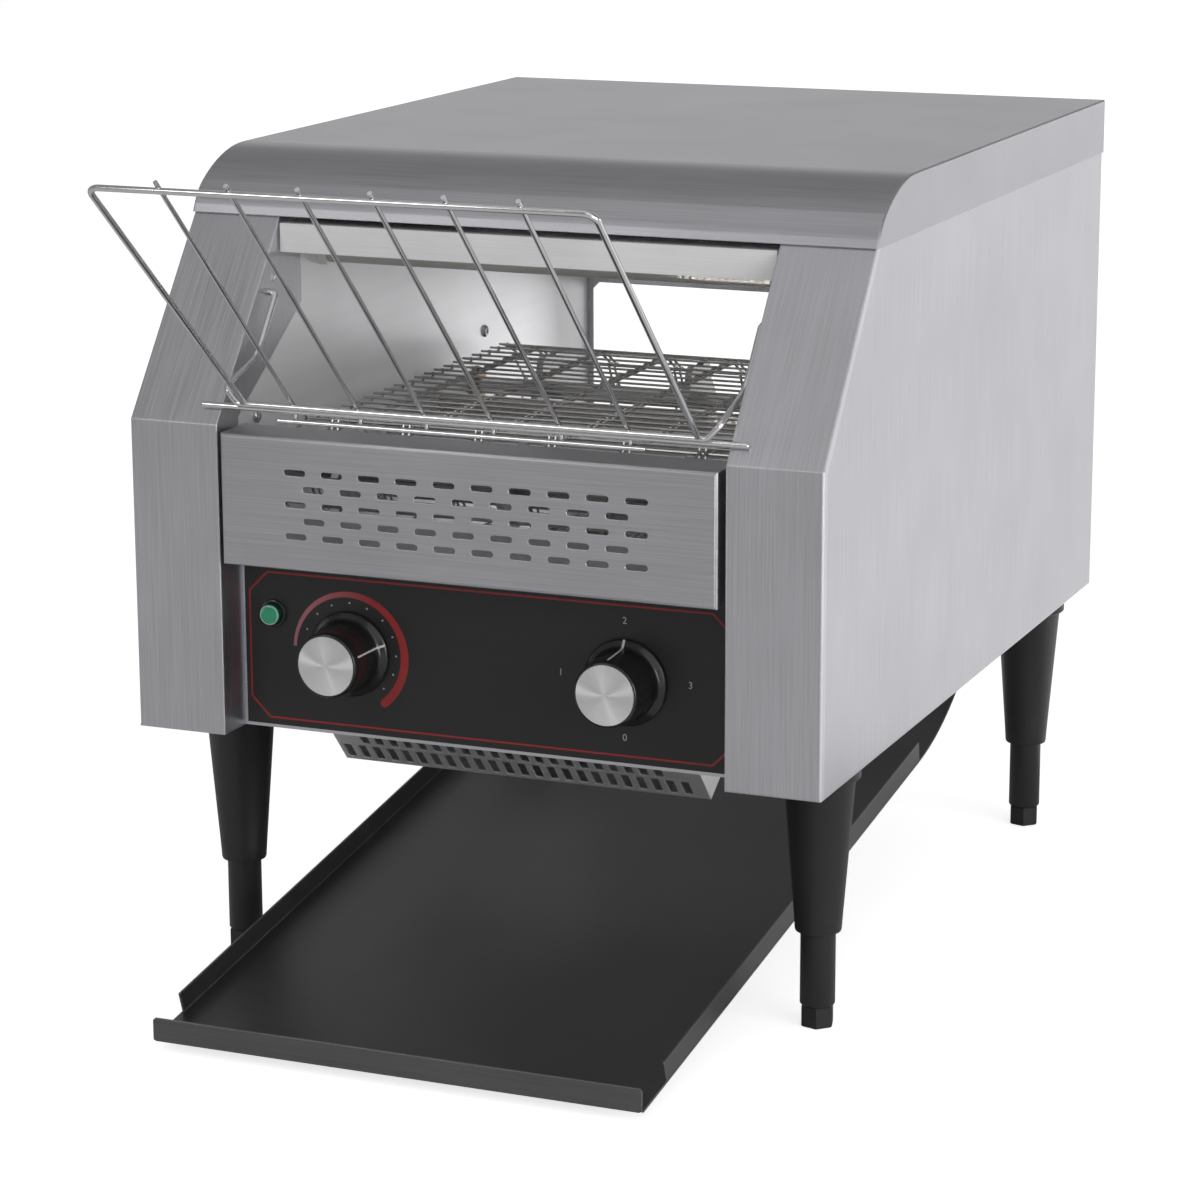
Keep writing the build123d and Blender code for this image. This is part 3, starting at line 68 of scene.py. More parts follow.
def at(x, depth, height):
    """Point from millimetres: x, distance behind the body's front face, height above the bench."""
    return Vector((x * MM, FRONT + depth * MM, height * MM))


def millimetres(points):
    """Points or sections given in millimetres, in metres."""
    return [tuple(number * MM for number in point) for point in points]


def middle(node, depth):
    """Point at a depth, in the middle of a node's width and height."""
    low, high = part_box(node)
    return Vector(((low.x + high.x) / 2, depth, (low.z + high.z) / 2))


# ------------------------------------------------------------------ sizes and colours
def length(name, description, size):
    """A length property, given in millimetres."""
    return FloatProperty(
        name=name, description=description, default=size * MM, min=0.0, unit="LENGTH", precision=5
    )


def colour(name, description, rgb):
    """A linear colour property."""
    return FloatVectorProperty(
        name=name, description=description, default=rgb, min=0.0, max=1.0, size=3, subtype="COLOR"
    )


def power(name, description, watts):
    """The power of a light."""
    return FloatProperty(name=name, description=description, default=watts, unit="POWER")


class ToasterSteel(bpy.types.PropertyGroup):
    """Colours of the sheet metal."""

    body: colour("Body", "Brushed steel of the sides, the columns and the rear", (0.62, 0.612, 0.645))
    # The cover and the front panel are the body's steel made a little darker: painted shade on the top and on
    # the front
    cover: colour("Cover", "Brushed steel of the top cover", (0.52, 0.513, 0.543))
    front: colour("Front panel", "Brushed steel of the slotted front panel", (0.56, 0.552, 0.582))
    bright: colour("Bright parts", "Pale mill finish of the lintel", (0.94, 0.94, 0.945))
    guard: colour("Air guard", "Brushed steel of the air guard", (0.78, 0.78, 0.79))
    inner: colour("Inner walls", "Mill finish sheet round the chamber", (0.82, 0.82, 0.835))
    tray: colour("Tray", "Satin sheet of the toast tray", (0.17, 0.167, 0.17))
    wire: colour("Wire", "Polished wire of the loading rack", (0.78, 0.78, 0.78))
    belt: colour("Belt", "Drawn wire of the belt", (0.50, 0.49, 0.48))
    grain: FloatProperty(
        name="Grain", description="Contrast of the brushed grain", default=0.09, min=0.0, max=1.0
    )


class ToasterVent(bpy.types.PropertyGroup):
    """Sizes of the slotted front panel."""

    thickness: length("Sheet", "Thickness of the sheet", 1.0)
    bend: length("Bend", "Outer radius of the folded edge", 1.3)
    slot_length: length("Slot length", "Overall length of a slot", 11.7)
    slot_height: length("Slot height", "Height of a slot", 3.2)
    pitch: length("Slot pitch", "Distance between slots in a row", 20.2)
    row_pitch: length("Row pitch", "Distance between rows", 8.05)
    slots: IntProperty(name="Slots", description="Slots in each long row", default=10, min=2)


class ToasterControls(bpy.types.PropertyGroup):
    """Sizes and colours of the control face, its knobs and the lamp."""

    ink: length("Print thickness", "Thickness of what is printed on the face", 0.06)
    border: length("Border width", "Width of the red border line", 0.95)
    scale_radius: length("Scale radius", "Middle radius of the colour scale", 30.6)
    scale_thin: length("Scale start", "Width of the colour scale where it starts", 1.7)
    scale_thick: length("Scale end", "Width of the colour scale where it ends", 4.4)
    dot: length("Dot", "Radius of a scale dot", 0.5)
    digit: length("Digit height", "Height of the mode numbers", 5.0)
    face: colour("Face", "Film on the control face", (0.017, 0.016, 0.016))
    red: colour("Red", "Border and strong end of the scale", (0.34, 0.022, 0.022))
    pink: colour("Pink", "Weak end of the scale", (0.42, 0.16, 0.19))
    grey: colour("Grey", "Dots and numbers", (0.42, 0.42, 0.42))
    knob: colour("Knob", "Black moulding", (0.012, 0.012, 0.0125))
    cap: colour("Cap", "Spun aluminium", (0.94, 0.94, 0.94))
    lamp: colour("Lamp", "Green lens", (0.01, 0.20, 0.095))


class ToasterLegs(bpy.types.PropertyGroup):
    """Sizes and colour of the legs."""

    flange: length("Flange", "Radius of the flange at the top", 20.4)
    top: length("Top", "Radius of the sleeve under its flange", 18.0)
    low: length("Bottom", "Radius of the sleeve at its lower end", 11.8)
    foot: length("Foot", "Radius of the foot", 8.9)
    black: colour("Black", "Textured moulding", (0.017, 0.0165, 0.017))


class ToasterRack(bpy.types.PropertyGroup):
    """Sizes of the loading rack's wires."""

    wire: length("Wire", "Diameter of the frame, the hanger and the rod", 3.2)
    bar: length("Bar", "Diameter of the bars", 2.4)
    bend: length("Bend", "Radius of the small bends", 6.0)


class ToasterBelt(bpy.types.PropertyGroup):
    """Sizes of the wire link belt."""

    wire: length("Wire", "Diameter of the belt's wire", 1.6)
    pitch: length("Pitch", "Distance between strands", 12.7)
    half_width: length("Half width", "From the middle to the edge", 122.0)
    spacing: length("Link spacing", "Distance between columns of links", 40.0)
    links: IntProperty(name="Link columns", description="Columns of links across the belt", default=6, min=2)


class ToasterStage(bpy.types.PropertyGroup):
    """Light and camera."""

    key: power("Side light", "Power of the large side light", 32.0)
    low: power("Floor light", "Power of the light from the floor", 6.2)
    fill: power("Front light", "Power of the front light", 9.0)
    right: power("Right light", "Power of the light at the front right", 24.0)
    top: power("Top light", "Power of the light above", 5.0)
    strip: power("Strip light", "Power of the low light at the right", 13.5)
    window: power("Window light", "Power of the light in the outlet", 0.36)
    back: power("Back light", "Power of the low light behind", 10.0)
    surround: FloatProperty(name="Surround", description="Brightness of the room", default=0.27, min=0.0)
    lift: FloatProperty(
        name="Floor lift", description="How far the floor is lifted to white", default=0.74, min=0.0
    )
    lens: FloatProperty(name="Lens", description="Focal length in millimetres", default=112.0, min=1.0)


GROUPS = {
    "toaster_steel": ToasterSteel,
    "toaster_vent": ToasterVent,
    "toaster_controls": ToasterControls,
    "toaster_legs": ToasterLegs,
    "toaster_rack": ToasterRack,
    "toaster_belt": ToasterBelt,
    "toaster_stage": ToasterStage,
}

# Linear colours of small and hidden pieces
ZINC = (0.55, 0.56, 0.55)
TURNED_STEEL = (0.52, 0.52, 0.52)
OILED_STEEL = (0.16, 0.15, 0.14)
SCREW_STEEL = (0.60, 0.60, 0.60)
HEATER_WIRE = (0.30, 0.24, 0.20)
BRONZE = (0.50, 0.36, 0.17)
ENAMEL = (0.02, 0.02, 0.021)
BLACK_PLASTIC = (0.015, 0.015, 0.016)
WHITE_PLASTIC = (0.72, 0.70, 0.66)
CERAMIC = (0.80, 0.78, 0.72)
QUARTZ = (0.86, 0.84, 0.80)
POINTER_WHITE = (0.62, 0.62, 0.60)
COLLAR_BLACK = (0.008, 0.022, 0.017)
PALE_GREEN = (0.42, 0.62, 0.52)
PALE_FLOOR = (0.90, 0.90, 0.90)
WHITE = (1.0, 1.0, 1.0)

# Lines to the metre of a brushed surface, in x, depth and height
ALONG_X = (18.0, 1500.0, 1500.0)
ALONG_Z = (1500.0, 1500.0, 18.0)
MILLED = (8.0, 8.0, 160.0)


def even(lines):
    """Lines to the metre of a surface with no direction."""
    return (lines, lines, lines)


# ------------------------------------------------------------------ node helpers
def linked(tree, kind, *sources, **settings):
    """Adds a node, sets its properties and joins sources to its inputs by name or place."""
    node = tree.nodes.new(kind)
    for key, value in settings.items():
        setattr(node, key, value)
    for target, source in sources:
        if isinstance(source, bpy.types.NodeSocket):
            tree.links.new(source, node.inputs[target])
        else:
            node.inputs[target].default_value = source
    return node


def result(tree, kind, *sources, **settings):
    """The first output of a node that linked makes."""
    return linked(tree, kind, *sources, **settings).outputs[0]


def maths(tree, operation, *values, clamp=False):
    """The outcome of a Math node on the values."""
    return result(tree, "ShaderNodeMath", *enumerate(values), operation=operation, use_clamp=clamp)


def product(tree, vector, other):
    """Two vectors multiplied, number by number."""
    return result(tree, "ShaderNodeVectorMath", (0, vector), (1, other), operation="MULTIPLY")


def scaled(tree, vector, factor):
    """A vector or colour times one factor."""
    return result(tree, "ShaderNodeVectorMath", (0, vector), ("Scale", factor), operation="SCALE")


def open_tree(name, kind, inputs, outputs):
    """A node group with its sockets, each a name, a kind and sometimes a value, and what its inputs give."""
    tree = bpy.data.node_groups.new(name, kind)
    for side, sockets in (("INPUT", inputs), ("OUTPUT", outputs)):
        for label, data, *value in sockets:
            made = tree.interface.new_socket(name=label, in_out=side, socket_type=f"NodeSocket{data}")
            if value:
                made.default_value = value[0]
    return tree, tree.nodes.new("NodeGroupInput").outputs


def close_tree(tree, **results):
    """Joins each result to the group's output of that name."""
    linked(tree, "NodeGroupOutput", *results.items())
    return tree


def shared(name, build):
    """The node group of that name, built on its first use."""
    return bpy.data.node_groups.get(name) or build(name)


# ------------------------------------------------------------------ shader groups
SURFACE_RESULTS = (("Color", "Color"), ("Roughness", "Float"), ("Height", "Float"))


def grain_group(name):
    """Brushed metal: fine lines along one direction and faint broad clouds."""
    tree, given = open_tree(
        name,
        "ShaderNodeTree",
        (
            ("Lines", "Vector", (30.0, 1800.0, 1800.0)),
            ("Base", "Color", (0.5, 0.5, 0.5, 1.0)),
            ("Contrast", "Float", 0.15),
            ("Cloud", "Float", 0.06),
            ("Rough", "Float", 0.35),
            ("Rough Change", "Float", 0.3),
            ("Depth Share", "Float", 1.0),
        ),
        SURFACE_RESULTS,
    )
    surface = tree.nodes.new("ShaderNodeTexCoord").outputs
    place = surface["Object"]
    # Faces that don't look to a side have only a share of the lines that are counted in depth
    sideways = maths(tree, "ABSOLUTE", result(tree, "ShaderNodeSeparateXYZ", (0, surface["Normal"])))
    is_side = maths(tree, "GREATER_THAN", sideways, 0.7)
    depth = result(tree, "ShaderNodeMapRange", ("Value", is_side), ("To Min", given["Depth Share"]))
    share = result(tree, "ShaderNodeCombineXYZ", (0, 1.0), (1, depth), (2, 1.0))
    stretched = product(tree, product(tree, place, given["Lines"]), share)
    lines = result(tree, "ShaderNodeTexNoise", ("Vector", stretched), ("Scale", 1.0), ("Detail", 3.0))
    clouds = result(tree, "ShaderNodeTexNoise", ("Vector", place), ("Scale", 14.0), ("Detail", 2.0))
    low = maths(tree, "SUBTRACT", 1.0, given["Contrast"])
    high = maths(tree, "ADD", 1.0, given["Contrast"])
    shade = result(
        tree, "ShaderNodeMapRange", ("Value", lines), ("From Min", 0.3), ("From Max", 0.7),
        ("To Min", low), ("To Max", high),
    )
    drift = maths(tree, "MULTIPLY", maths(tree, "SUBTRACT", clouds, 0.5), given["Cloud"])
    # Noise stays close to 0.5, so the clouds are strengthened
    cloud_gain = 4.0
    total = maths(tree, "ADD", shade, maths(tree, "MULTIPLY", drift, cloud_gain))
    rough = maths(tree, "MULTIPLY", maths(tree, "SUBTRACT", lines, 0.5), given["Rough Change"])
    rough = maths(tree, "ADD", rough, given["Rough"], clamp=True)
    return close_tree(tree, Color=scaled(tree, given["Base"], total), Roughness=rough, Height=lines)


def skin_group(name):
    """Moulded or coated surface: fine texture in height and roughness, faint change of colour."""
    tree, given = open_tree(
        name,
        "ShaderNodeTree",
        (
            ("Base", "Color", (0.02, 0.02, 0.02, 1.0)),
            ("Scale", "Float", 1500.0),
            ("Change", "Float", 0.15),
            ("Rough", "Float", 0.45),
        ),
        SURFACE_RESULTS,
    )
    place = tree.nodes.new("ShaderNodeTexCoord").outputs["Object"]
    fine = result(tree, "ShaderNodeTexNoise", ("Vector", place), ("Scale", given["Scale"]), ("Detail", 2.0))
    broad = result(tree, "ShaderNodeTexNoise", ("Vector", place), ("Scale", 22.0), ("Detail", 3.0))
    swing = maths(tree, "MULTIPLY", maths(tree, "SUBTRACT", broad, 0.5), given["Change"])
    shade = maths(tree, "MULTIPLY_ADD", swing, 2.0, 1.0)
    rough = maths(tree, "ADD", swing, given["Rough"], clamp=True)
    return close_tree(tree, Color=scaled(tree, given["Base"], shade), Roughness=rough, Height=fine)


def edge_group(name):
    """Rounded edges: normals that turn over a sharp edge, and a painted highlight that lightens the colour
    there.
    """
    tree, given = open_tree(
        name,
        "ShaderNodeTree",
        (("Radius", "Float", 0.001), ("Color", "Color", (0.5, 0.5, 0.5, 1.0)), ("Polish", "Float", 0.6)),
        (("Color", "Color"), ("Normal", "Vector")),
    )
    soft = result(tree, "ShaderNodeBevel", ("Radius", given["Radius"]), samples=3)
    flat = tree.nodes.new("ShaderNodeNewGeometry").outputs["Normal"]
    alike = linked(tree, "ShaderNodeVectorMath", (0, soft), (1, flat), operation="DOT_PRODUCT")
    # Where the rounded normal turns away from the flat one, the colour is lightened: a painted highlight
    # along the edge
    highlight_mask = result(
        tree, "ShaderNodeMapRange", ("Value", alike.outputs["Value"]), ("From Min", 0.995), ("From Max", 0.85)
    )
    gain = maths(tree, "MULTIPLY_ADD", highlight_mask, given["Polish"], 1.0)
    bright = scaled(tree, given["Color"], gain)
    limited = result(tree, "ShaderNodeVectorMath", (0, bright), (1, (0.97, 0.97, 0.97)), operation="MINIMUM")
    return close_tree(tree, Color=limited, Normal=soft)


def fold_group(name):
    """Side of the body: a painted highlight along the fold at the front and the leaning edge, ended by a fine
    line of painted shade.
    """
    crease = 0.297  # height where the front edge starts to lean back
    lean = math.radians(37.7)
    outer_face = 0.1836  # what lies further out than this is the outer side
    line_width = 0.0003
    tree, given = open_tree(
        name,
        "ShaderNodeTree",
        (
            ("Color", "Color", (0.5, 0.5, 0.5, 1.0)),
            ("Width", "Float", 0.0055),
            ("Lighter", "Float", 0.16),
            ("Line", "Float", 0.12),
        ),
        (("Color", "Color"),),
    )
    place = tree.nodes.new("ShaderNodeTexCoord").outputs["Object"]
    parts = linked(tree, "ShaderNodeSeparateXYZ", (0, place)).outputs
    depth = maths(tree, "SUBTRACT", parts["Y"], FRONT)
    climb = maths(tree, "SUBTRACT", parts["Z"], crease)
    along = maths(tree, "MULTIPLY", depth, math.cos(lean))
    across = maths(tree, "MULTIPLY_ADD", climb, -math.sin(lean), along)
    nearest = maths(tree, "MINIMUM", depth, across)
    side = maths(tree, "GREATER_THAN", maths(tree, "ABSOLUTE", parts["X"]), outer_face)
    # The band is a painted highlight along the fold, and the line at its end is painted shade
    band = maths(tree, "MULTIPLY", maths(tree, "LESS_THAN", nearest, given["Width"]), side)
    line = maths(tree, "MULTIPLY", maths(tree, "COMPARE", nearest, given["Width"], line_width), side)
    gain = maths(tree, "MULTIPLY_ADD", band, given["Lighter"], 1.0)
    gain = maths(tree, "SUBTRACT", gain, maths(tree, "MULTIPLY", line, given["Line"]))
    return close_tree(tree, Color=scaled(tree, given["Color"], gain))


# ------------------------------------------------------------------ materials
def painted(
    name, group, values, bump=0.0, bump_distance=0.00005, edge=0.0, polish=0.0, band=False, **constants
):
    """A material whose colour, roughness and bump come from shader groups."""
    made = bpy.data.materials.new(name)
    made.use_nodes = True
    tree = made.node_tree
    pattern = linked(tree, "ShaderNodeGroup", *values.items(), node_tree=group).outputs
    tint = pattern["Color"]
    results = {"Roughness": pattern["Roughness"]}
    relief = {"Height": pattern["Height"], "Strength": bump, "Distance": bump_distance}
    # A painted highlight along the body's fold, ended by a line of painted shade
    if band:
        tint = result(tree, "ShaderNodeGroup", ("Color", tint), node_tree=shared("Fold band", fold_group))
    # Sharp edges get rounded normals and a painted highlight that lightens the colour along them
    if edge:
        rim = {"Radius": edge, "Color": tint, "Polish": polish}
        soft = linked(tree, "ShaderNodeGroup", *rim.items(), node_tree=shared("Rounded edge", edge_group))
        tint = soft.outputs["Color"]
        results["Normal"] = relief["Normal"] = soft.outputs["Normal"]
    if bump:
        results["Normal"] = result(tree, "ShaderNodeBump", *relief.items())
    results["Base Color"] = tint
    shader = tree.nodes["Principled BSDF"]
    for key, source in results.items():
        tree.links.new(source, shader.inputs[key])
    for key, value in constants.items():
        shader.inputs[key.replace("_", " ")].default_value = value
    return made


def brushed(
    name, rgb, lines, rough=0.34, contrast=None, cloud=0.05, bump=0.12, change=0.3, share=1.0,
    metallic=1.0, **looks,
):
    """Brushed or drawn metal with its grain along the axis that has the lowest line count."""
    values = {
        "Base": (*rgb, 1.0),
        "Lines": lines,
        "Contrast": bpy.context.scene.toaster_steel.grain if contrast is None else contrast,
        "Cloud": cloud,
        "Rough": rough,
        "Rough Change": change,
        "Depth Share": share,
    }
    return painted(name, shared("Brushed grain", grain_group), values, bump=bump, Metallic=metallic, **looks)


def moulded(name, rgb, scale=1500.0, rough=0.45, change=0.15, bump=0.15, distance=0.00004, **constants):
    """Plastic, enamel, ceramic or film."""
    values = {"Base": (*rgb, 1.0), "Scale": scale, "Rough": rough, "Change": change}
    skin = shared("Moulded skin", skin_group)
    return painted(name, skin, values, bump=bump, bump_distance=distance, **constants)


def printed(name, rgb):
    """Ink on the control face."""
    return moulded(name, rgb, scale=900.0, rough=0.5, change=0.08, bump=0.03)


def dress(material, *names):
    """Puts a material on CAD nodes."""
    for name in names:
        for place in NODES[name].material_slots:
            place.material = material


# ------------------------------------------------------------------ mesh helpers
def put(name, data):
    """An object with this data, in the scene."""
    made = bpy.data.objects.new(name, data)
    bpy.context.scene.collection.objects.link(made)
    return made


def taken(holder):
    """The plain mesh that an object shows. The object itself is removed."""
    bpy.context.view_layer.update()
    shown = holder.evaluated_get(bpy.context.evaluated_depsgraph_get())
    mesh = bpy.data.meshes.new_from_object(shown)
    bpy.data.objects.remove(holder)
    return mesh


def closed(name, build, merge=True):
    """A mesh from a bmesh, with its faces turned outwards. Doubles are merged unless merge is false."""
    if merge:
        bmesh.ops.remove_doubles(build, verts=build.verts, dist=1e-7)
    bmesh.ops.recalc_face_normals(build, faces=build.faces)
    mesh = bpy.data.meshes.new(name)
    build.to_mesh(mesh)
    build.free()
    return mesh


def opened(mesh):
    """A bmesh from a mesh, which is removed."""
    build = bmesh.new()
    build.from_mesh(mesh)
    bpy.data.meshes.remove(mesh)
    return build


def finished(name, mesh, material, body, replaces=(), angle=35.0):
    """Makes an object of a mesh, with its finish, its body and the node it stands for."""
    mesh.materials.clear()
    mesh.materials.append(material)
    mesh.shade_smooth()
    mesh.set_sharp_from_angle(angle=math.radians(angle))
    made = put(name, mesh)
    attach(made, body)
    if replaces:
        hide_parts(*replaces)


def bridged(build, rings):
    """Joins each ring of points to the next by four-sided faces."""
    for here, after in zip(rings, rings[1:]):
        for index in range(len(here)):
            following = (index + 1) % len(here)
            build.faces.new((here[index], here[following], after[following], after[index]))


def turned(build, profile, origin, axis, steps):
    """Adds a turned shape: profile is (radius, distance along the axis), from pole to pole."""
    side = axis.orthogonal().normalized()
    other = axis.cross(side)
    turns = [math.tau * step / steps for step in range(steps)]
    spokes = [side * math.cos(turn) + other * math.sin(turn) for turn in turns]
    rings = []
    for radius, along in profile:
        centre = origin + axis * along
        if radius:
            rings.append([build.verts.new(centre + spoke * radius) for spoke in spokes])
        else:
            rings.append([build.verts.new(centre)])
    for low, high in zip(rings, rings[1:]):
        for step in range(steps):
            after = (step + 1) % steps
            if len(low) == 1:
                build.faces.new((low[0], high[step], high[after]))
            elif len(high) == 1:
                build.faces.new((low[step], high[0], low[after]))
            else:
                build.faces.new((low[step], high[step], high[after], low[after]))


def lathe(name, profile, origin, axis, steps):
    """A closed turned mesh."""
    build = bmesh.new()
    turned(build, profile, origin, axis, steps)
    return closed(name, build)


def rounded(points, radii, steps=8):
    """Points of a line whose inner corners are rounded by the radii."""
    path = [points[0]]
    for before, corner, after, radius in zip(points, points[1:], points[2:], radii):
        back = (before - corner).normalized()
        ahead = (after - corner).normalized()
        half = back.angle(ahead) / 2
        reach = radius / math.tan(half)
        centre = corner + (back + ahead).normalized() * (radius / math.sin(half))
        start = corner + back * reach - centre
        end = corner + ahead * reach - centre
        sweep = start.angle(end)
        for step in range(steps + 1):
            share = step / steps
            spread = start * math.sin((1 - share) * sweep) + end * math.sin(share * sweep)
            path.append(centre + spread / math.sin(sweep))
    path.append(points[-1])
    return path


def lines_curve(name, paths, cyclic, **settings):
    """A curve of straight runs through the places of each path."""
    curve = bpy.data.curves.new(name, "CURVE")
    for key, value in settings.items():
        setattr(curve, key, value)
    for path in paths:
        spline = curve.splines.new("POLY")
        spline.points.add(len(path) - 1)
        spline.use_cyclic_u = cyclic
        for point, place in zip(spline.points, path):
            point.co = (*place, 1.0)
    return curve


def wires(name, paths, radius, resolution):
    """A mesh of round wires along the paths, with closed ends."""
    curve = lines_curve(
        name, paths, False, dimensions="3D", use_fill_caps=True, bevel_depth=radius,
        bevel_resolution=resolution,
    )
    return closed(name, opened(taken(put(name, curve))))


def standing(name, curve, plane):
    """A mesh of a flat curve or text that stands on a plane facing the front."""
    mesh = taken(put(name, curve))
    mesh.transform(Matrix.Translation((0, plane, 0)) @ STANDING)
    return closed(name, opened(mesh))


def plate(name, loops, thickness, plane):
    """A thin flat print: closed outlines drawn in x and height, the holes among them."""
    paths = [[(x, z, 0.0) for x, z in loop] for loop in loops]
    curve = lines_curve(name, paths, True, dimensions="2D", fill_mode="BOTH", extrude=thickness / 2)
    return standing(name, curve, plane)


# ------------------------------------------------------------------ geometry nodes helpers
def piece_tree(name, *inputs):
    """A geometry node tree with the named inputs and a material, and what its inputs give."""
    shape = ("Geometry", "Geometry")
    return open_tree(name, "GeometryNodeTree", (shape, *inputs, ("Material", "Material")), (shape,))


def close_piece(tree, given, geometry):
    """Ends a tree in real geometry with the material given."""
    real = result(tree, "GeometryNodeRealizeInstances", ("Geometry", geometry))
    coated = result(tree, "GeometryNodeSetMaterial", ("Geometry", real), ("Material", given["Material"]))
    return close_tree(tree, Geometry=coated)


def shape_of(tree, given_object):
    """Geometry of an object that is given to a tree."""
    return linked(tree, "GeometryNodeObjectInfo", ("Object", given_object)).outputs["Geometry"]


def joined(tree, *shapes):
    """Several shapes as one."""
    node = tree.nodes.new("GeometryNodeJoinGeometry")
    for shape in shapes:
        tree.links.new(shape, node.inputs[0])
    return node.outputs[0]


def run_tree(name, tree, data, values):
    """Evaluates a tree on a mesh or curve and returns the plain mesh."""
    holder = put(name, data)
    modifier = holder.modifiers.new(tree.name, "NODES")
    modifier.node_group = tree
    for item in tree.interface.items_tree:
        if item.in_out == "INPUT" and item.name in values:
            modifier[item.identifier] = values[item.name]
    mesh = taken(holder)
    if not mesh.polygons:
        raise RuntimeError(f"{name} came out empty")
    return mesh


def spots(name, places):
    """A mesh of loose points."""
    mesh = bpy.data.meshes.new(name)
    mesh.from_pydata([tuple(place) for place in places], [], [])
    return mesh


def repeat_tree(name):
    """Sets one object on every point, with its up turned to the point's direction."""
    tree, given = piece_tree(name, ("Piece", "Object"), ("Size", "Float", 1.0))
    points = result(tree, "GeometryNodeMeshToPoints", ("Mesh", given["Geometry"]))
    facing = result(tree, "GeometryNodeInputNamedAttribute", ("Name", "facing"), data_type="FLOAT_VECTOR")
    turn = result(tree, "FunctionNodeAlignRotationToVector", ("Vector", facing), axis="Z")
    placed = result(
        tree, "GeometryNodeInstanceOnPoints", ("Points", points),
        ("Instance", shape_of(tree, given["Piece"])), ("Rotation", turn), ("Scale", given["Size"]),
    )
    return close_piece(tree, given, placed)


def repeated(name, shape, places, directions, material):
    """A mesh of one shape on every place, with its up turned to the place's direction."""
    points = spots(name, places)
    facing = points.attributes.new("facing", "FLOAT_VECTOR", "POINT")
    for index, direction in enumerate(directions):
        facing.data[index].vector = direction
    piece = bpy.data.objects.new(shape.name, shape)
    tree = shared("Repeat on points", repeat_tree)
    mesh = run_tree(name, tree, points, {"Piece": piece, "Size": 1.0, "Material": material})
    bpy.data.objects.remove(piece)
    return mesh


# ------------------------------------------------------------------ operators
class TOASTER_OT_sheet_metal(bpy.types.Operator):
    """Brushed and plated finishes of every sheet metal piece and of the hidden drive, with a painted
    highlight along the sharp edges of the outer sheets
    """

    bl_idname = "toaster.sheet_metal"
    bl_label = "Sheet metal"

    def execute(self, context):
        steel = context.scene.toaster_steel
        self.dress_outside(steel)
        self.dress_chamber(steel)
        self.dress_drive()
        self.dress_fittings()
        return {"FINISHED"}

    def dress_outside(self, steel):
        """Sides, cover, rear and the plate of the controls."""
        # On the body, the cover and the rear, the edge amounts paint a highlight along the sharp edges. The
        # body's band is a painted highlight along its fold, ended by a painted shade line
        body = brushed(
            "body_brushed", steel.body, ALONG_Z, rough=0.36, share=0.012, edge=0.0012, polish=0.55, band=True
        )
        dress(body, "side_panel_left", "side_panel_right")
        # The cover's darker colour is painted shade on the top
        cover = brushed("cover_brushed", steel.cover, ALONG_X, rough=0.36, edge=0.0009, polish=0.3)
        dress(cover, "top_cover")
        rear = brushed("rear_brushed", steel.body, ALONG_Z, rough=0.36, edge=0.0008, polish=0.3)
        dress(rear, "rear_panel")
        dress(brushed("control_brushed", steel.body, ALONG_X, rough=0.36), "control_panel")

    def dress_chamber(self, steel):
        """Reflectors, air guard, inner walls and tray."""
        bright = brushed("bright_sheet", steel.bright, ALONG_X, contrast=0.04, cloud=0.08, metallic=0.1)
        dress(bright, "upper_reflector", "lower_reflector")
        # The edge amounts paint a highlight along the sharp edges of the guard and the tray
        guard = brushed(
            "guard_sheet", steel.guard, ALONG_X, rough=0.42, contrast=0.08, metallic=0.7,
            edge=0.0006, polish=0.5,
        )
        dress(guard, "air_guard")
        inner = brushed(
            "mill_sheet", steel.inner, MILLED, rough=0.32, contrast=0.02, metallic=0.3, bump=0.0, change=0.03
        )
        dress(inner, "inner_wall_left", "inner_wall_right", "box_shield")
        tray = brushed("tray_satin", steel.tray, ALONG_X, rough=0.40, contrast=0.10, edge=0.0008, polish=1.1)
        dress(tray, "toast_tray")

    def dress_drive(self):
        """Plated brackets, shafts, chain and bushes."""
        zinc = brushed("zinc_plate", ZINC, even(300.0), rough=0.38, contrast=0.05, cloud=0.12)
        dress(zinc, "base_pan", "motor_bracket", "tray_rail_left", "tray_rail_right", "speed_control")
        dress(zinc, "colour_spindle", "mode_spindle")
        shafts = brushed("turned_steel", TURNED_STEEL, ALONG_X, rough=0.28, contrast=0.08)
        dress(shafts, "drive_shaft", "idler_shaft", "motor_shaft", "drive_sprockets", "idler_sprockets")
        chain = brushed("oiled_steel", OILED_STEEL, even(900.0), rough=0.42, contrast=0.2, cloud=0.2)
        dress(chain, "drive_chain", "driven_chain_wheel", "motor_chain_wheel")
        dress(brushed("sintered_bronze", BRONZE, even(1200.0), rough=0.5, contrast=0.1), "shaft_bushes")

    def dress_fittings(self):
        """Motor, fan, switch, gland, terminals and ceramics."""
        dress(moulded("black_enamel", ENAMEL, scale=700.0, rough=0.35), "gear_motor")
        black = moulded("black_moulding", BLACK_PLASTIC, scale=900.0, rough=0.5)
        dress(black, "fan_frame", "fan_impeller", "rotary_switch", "cable_gland")
        dress(moulded("white_moulding", WHITE_PLASTIC, scale=800.0), "terminal_block")
        glazed = moulded("glazed_ceramic", CERAMIC, scale=400.0, rough=0.3)
        dress(glazed, "heater_holders", "thermal_limiter")


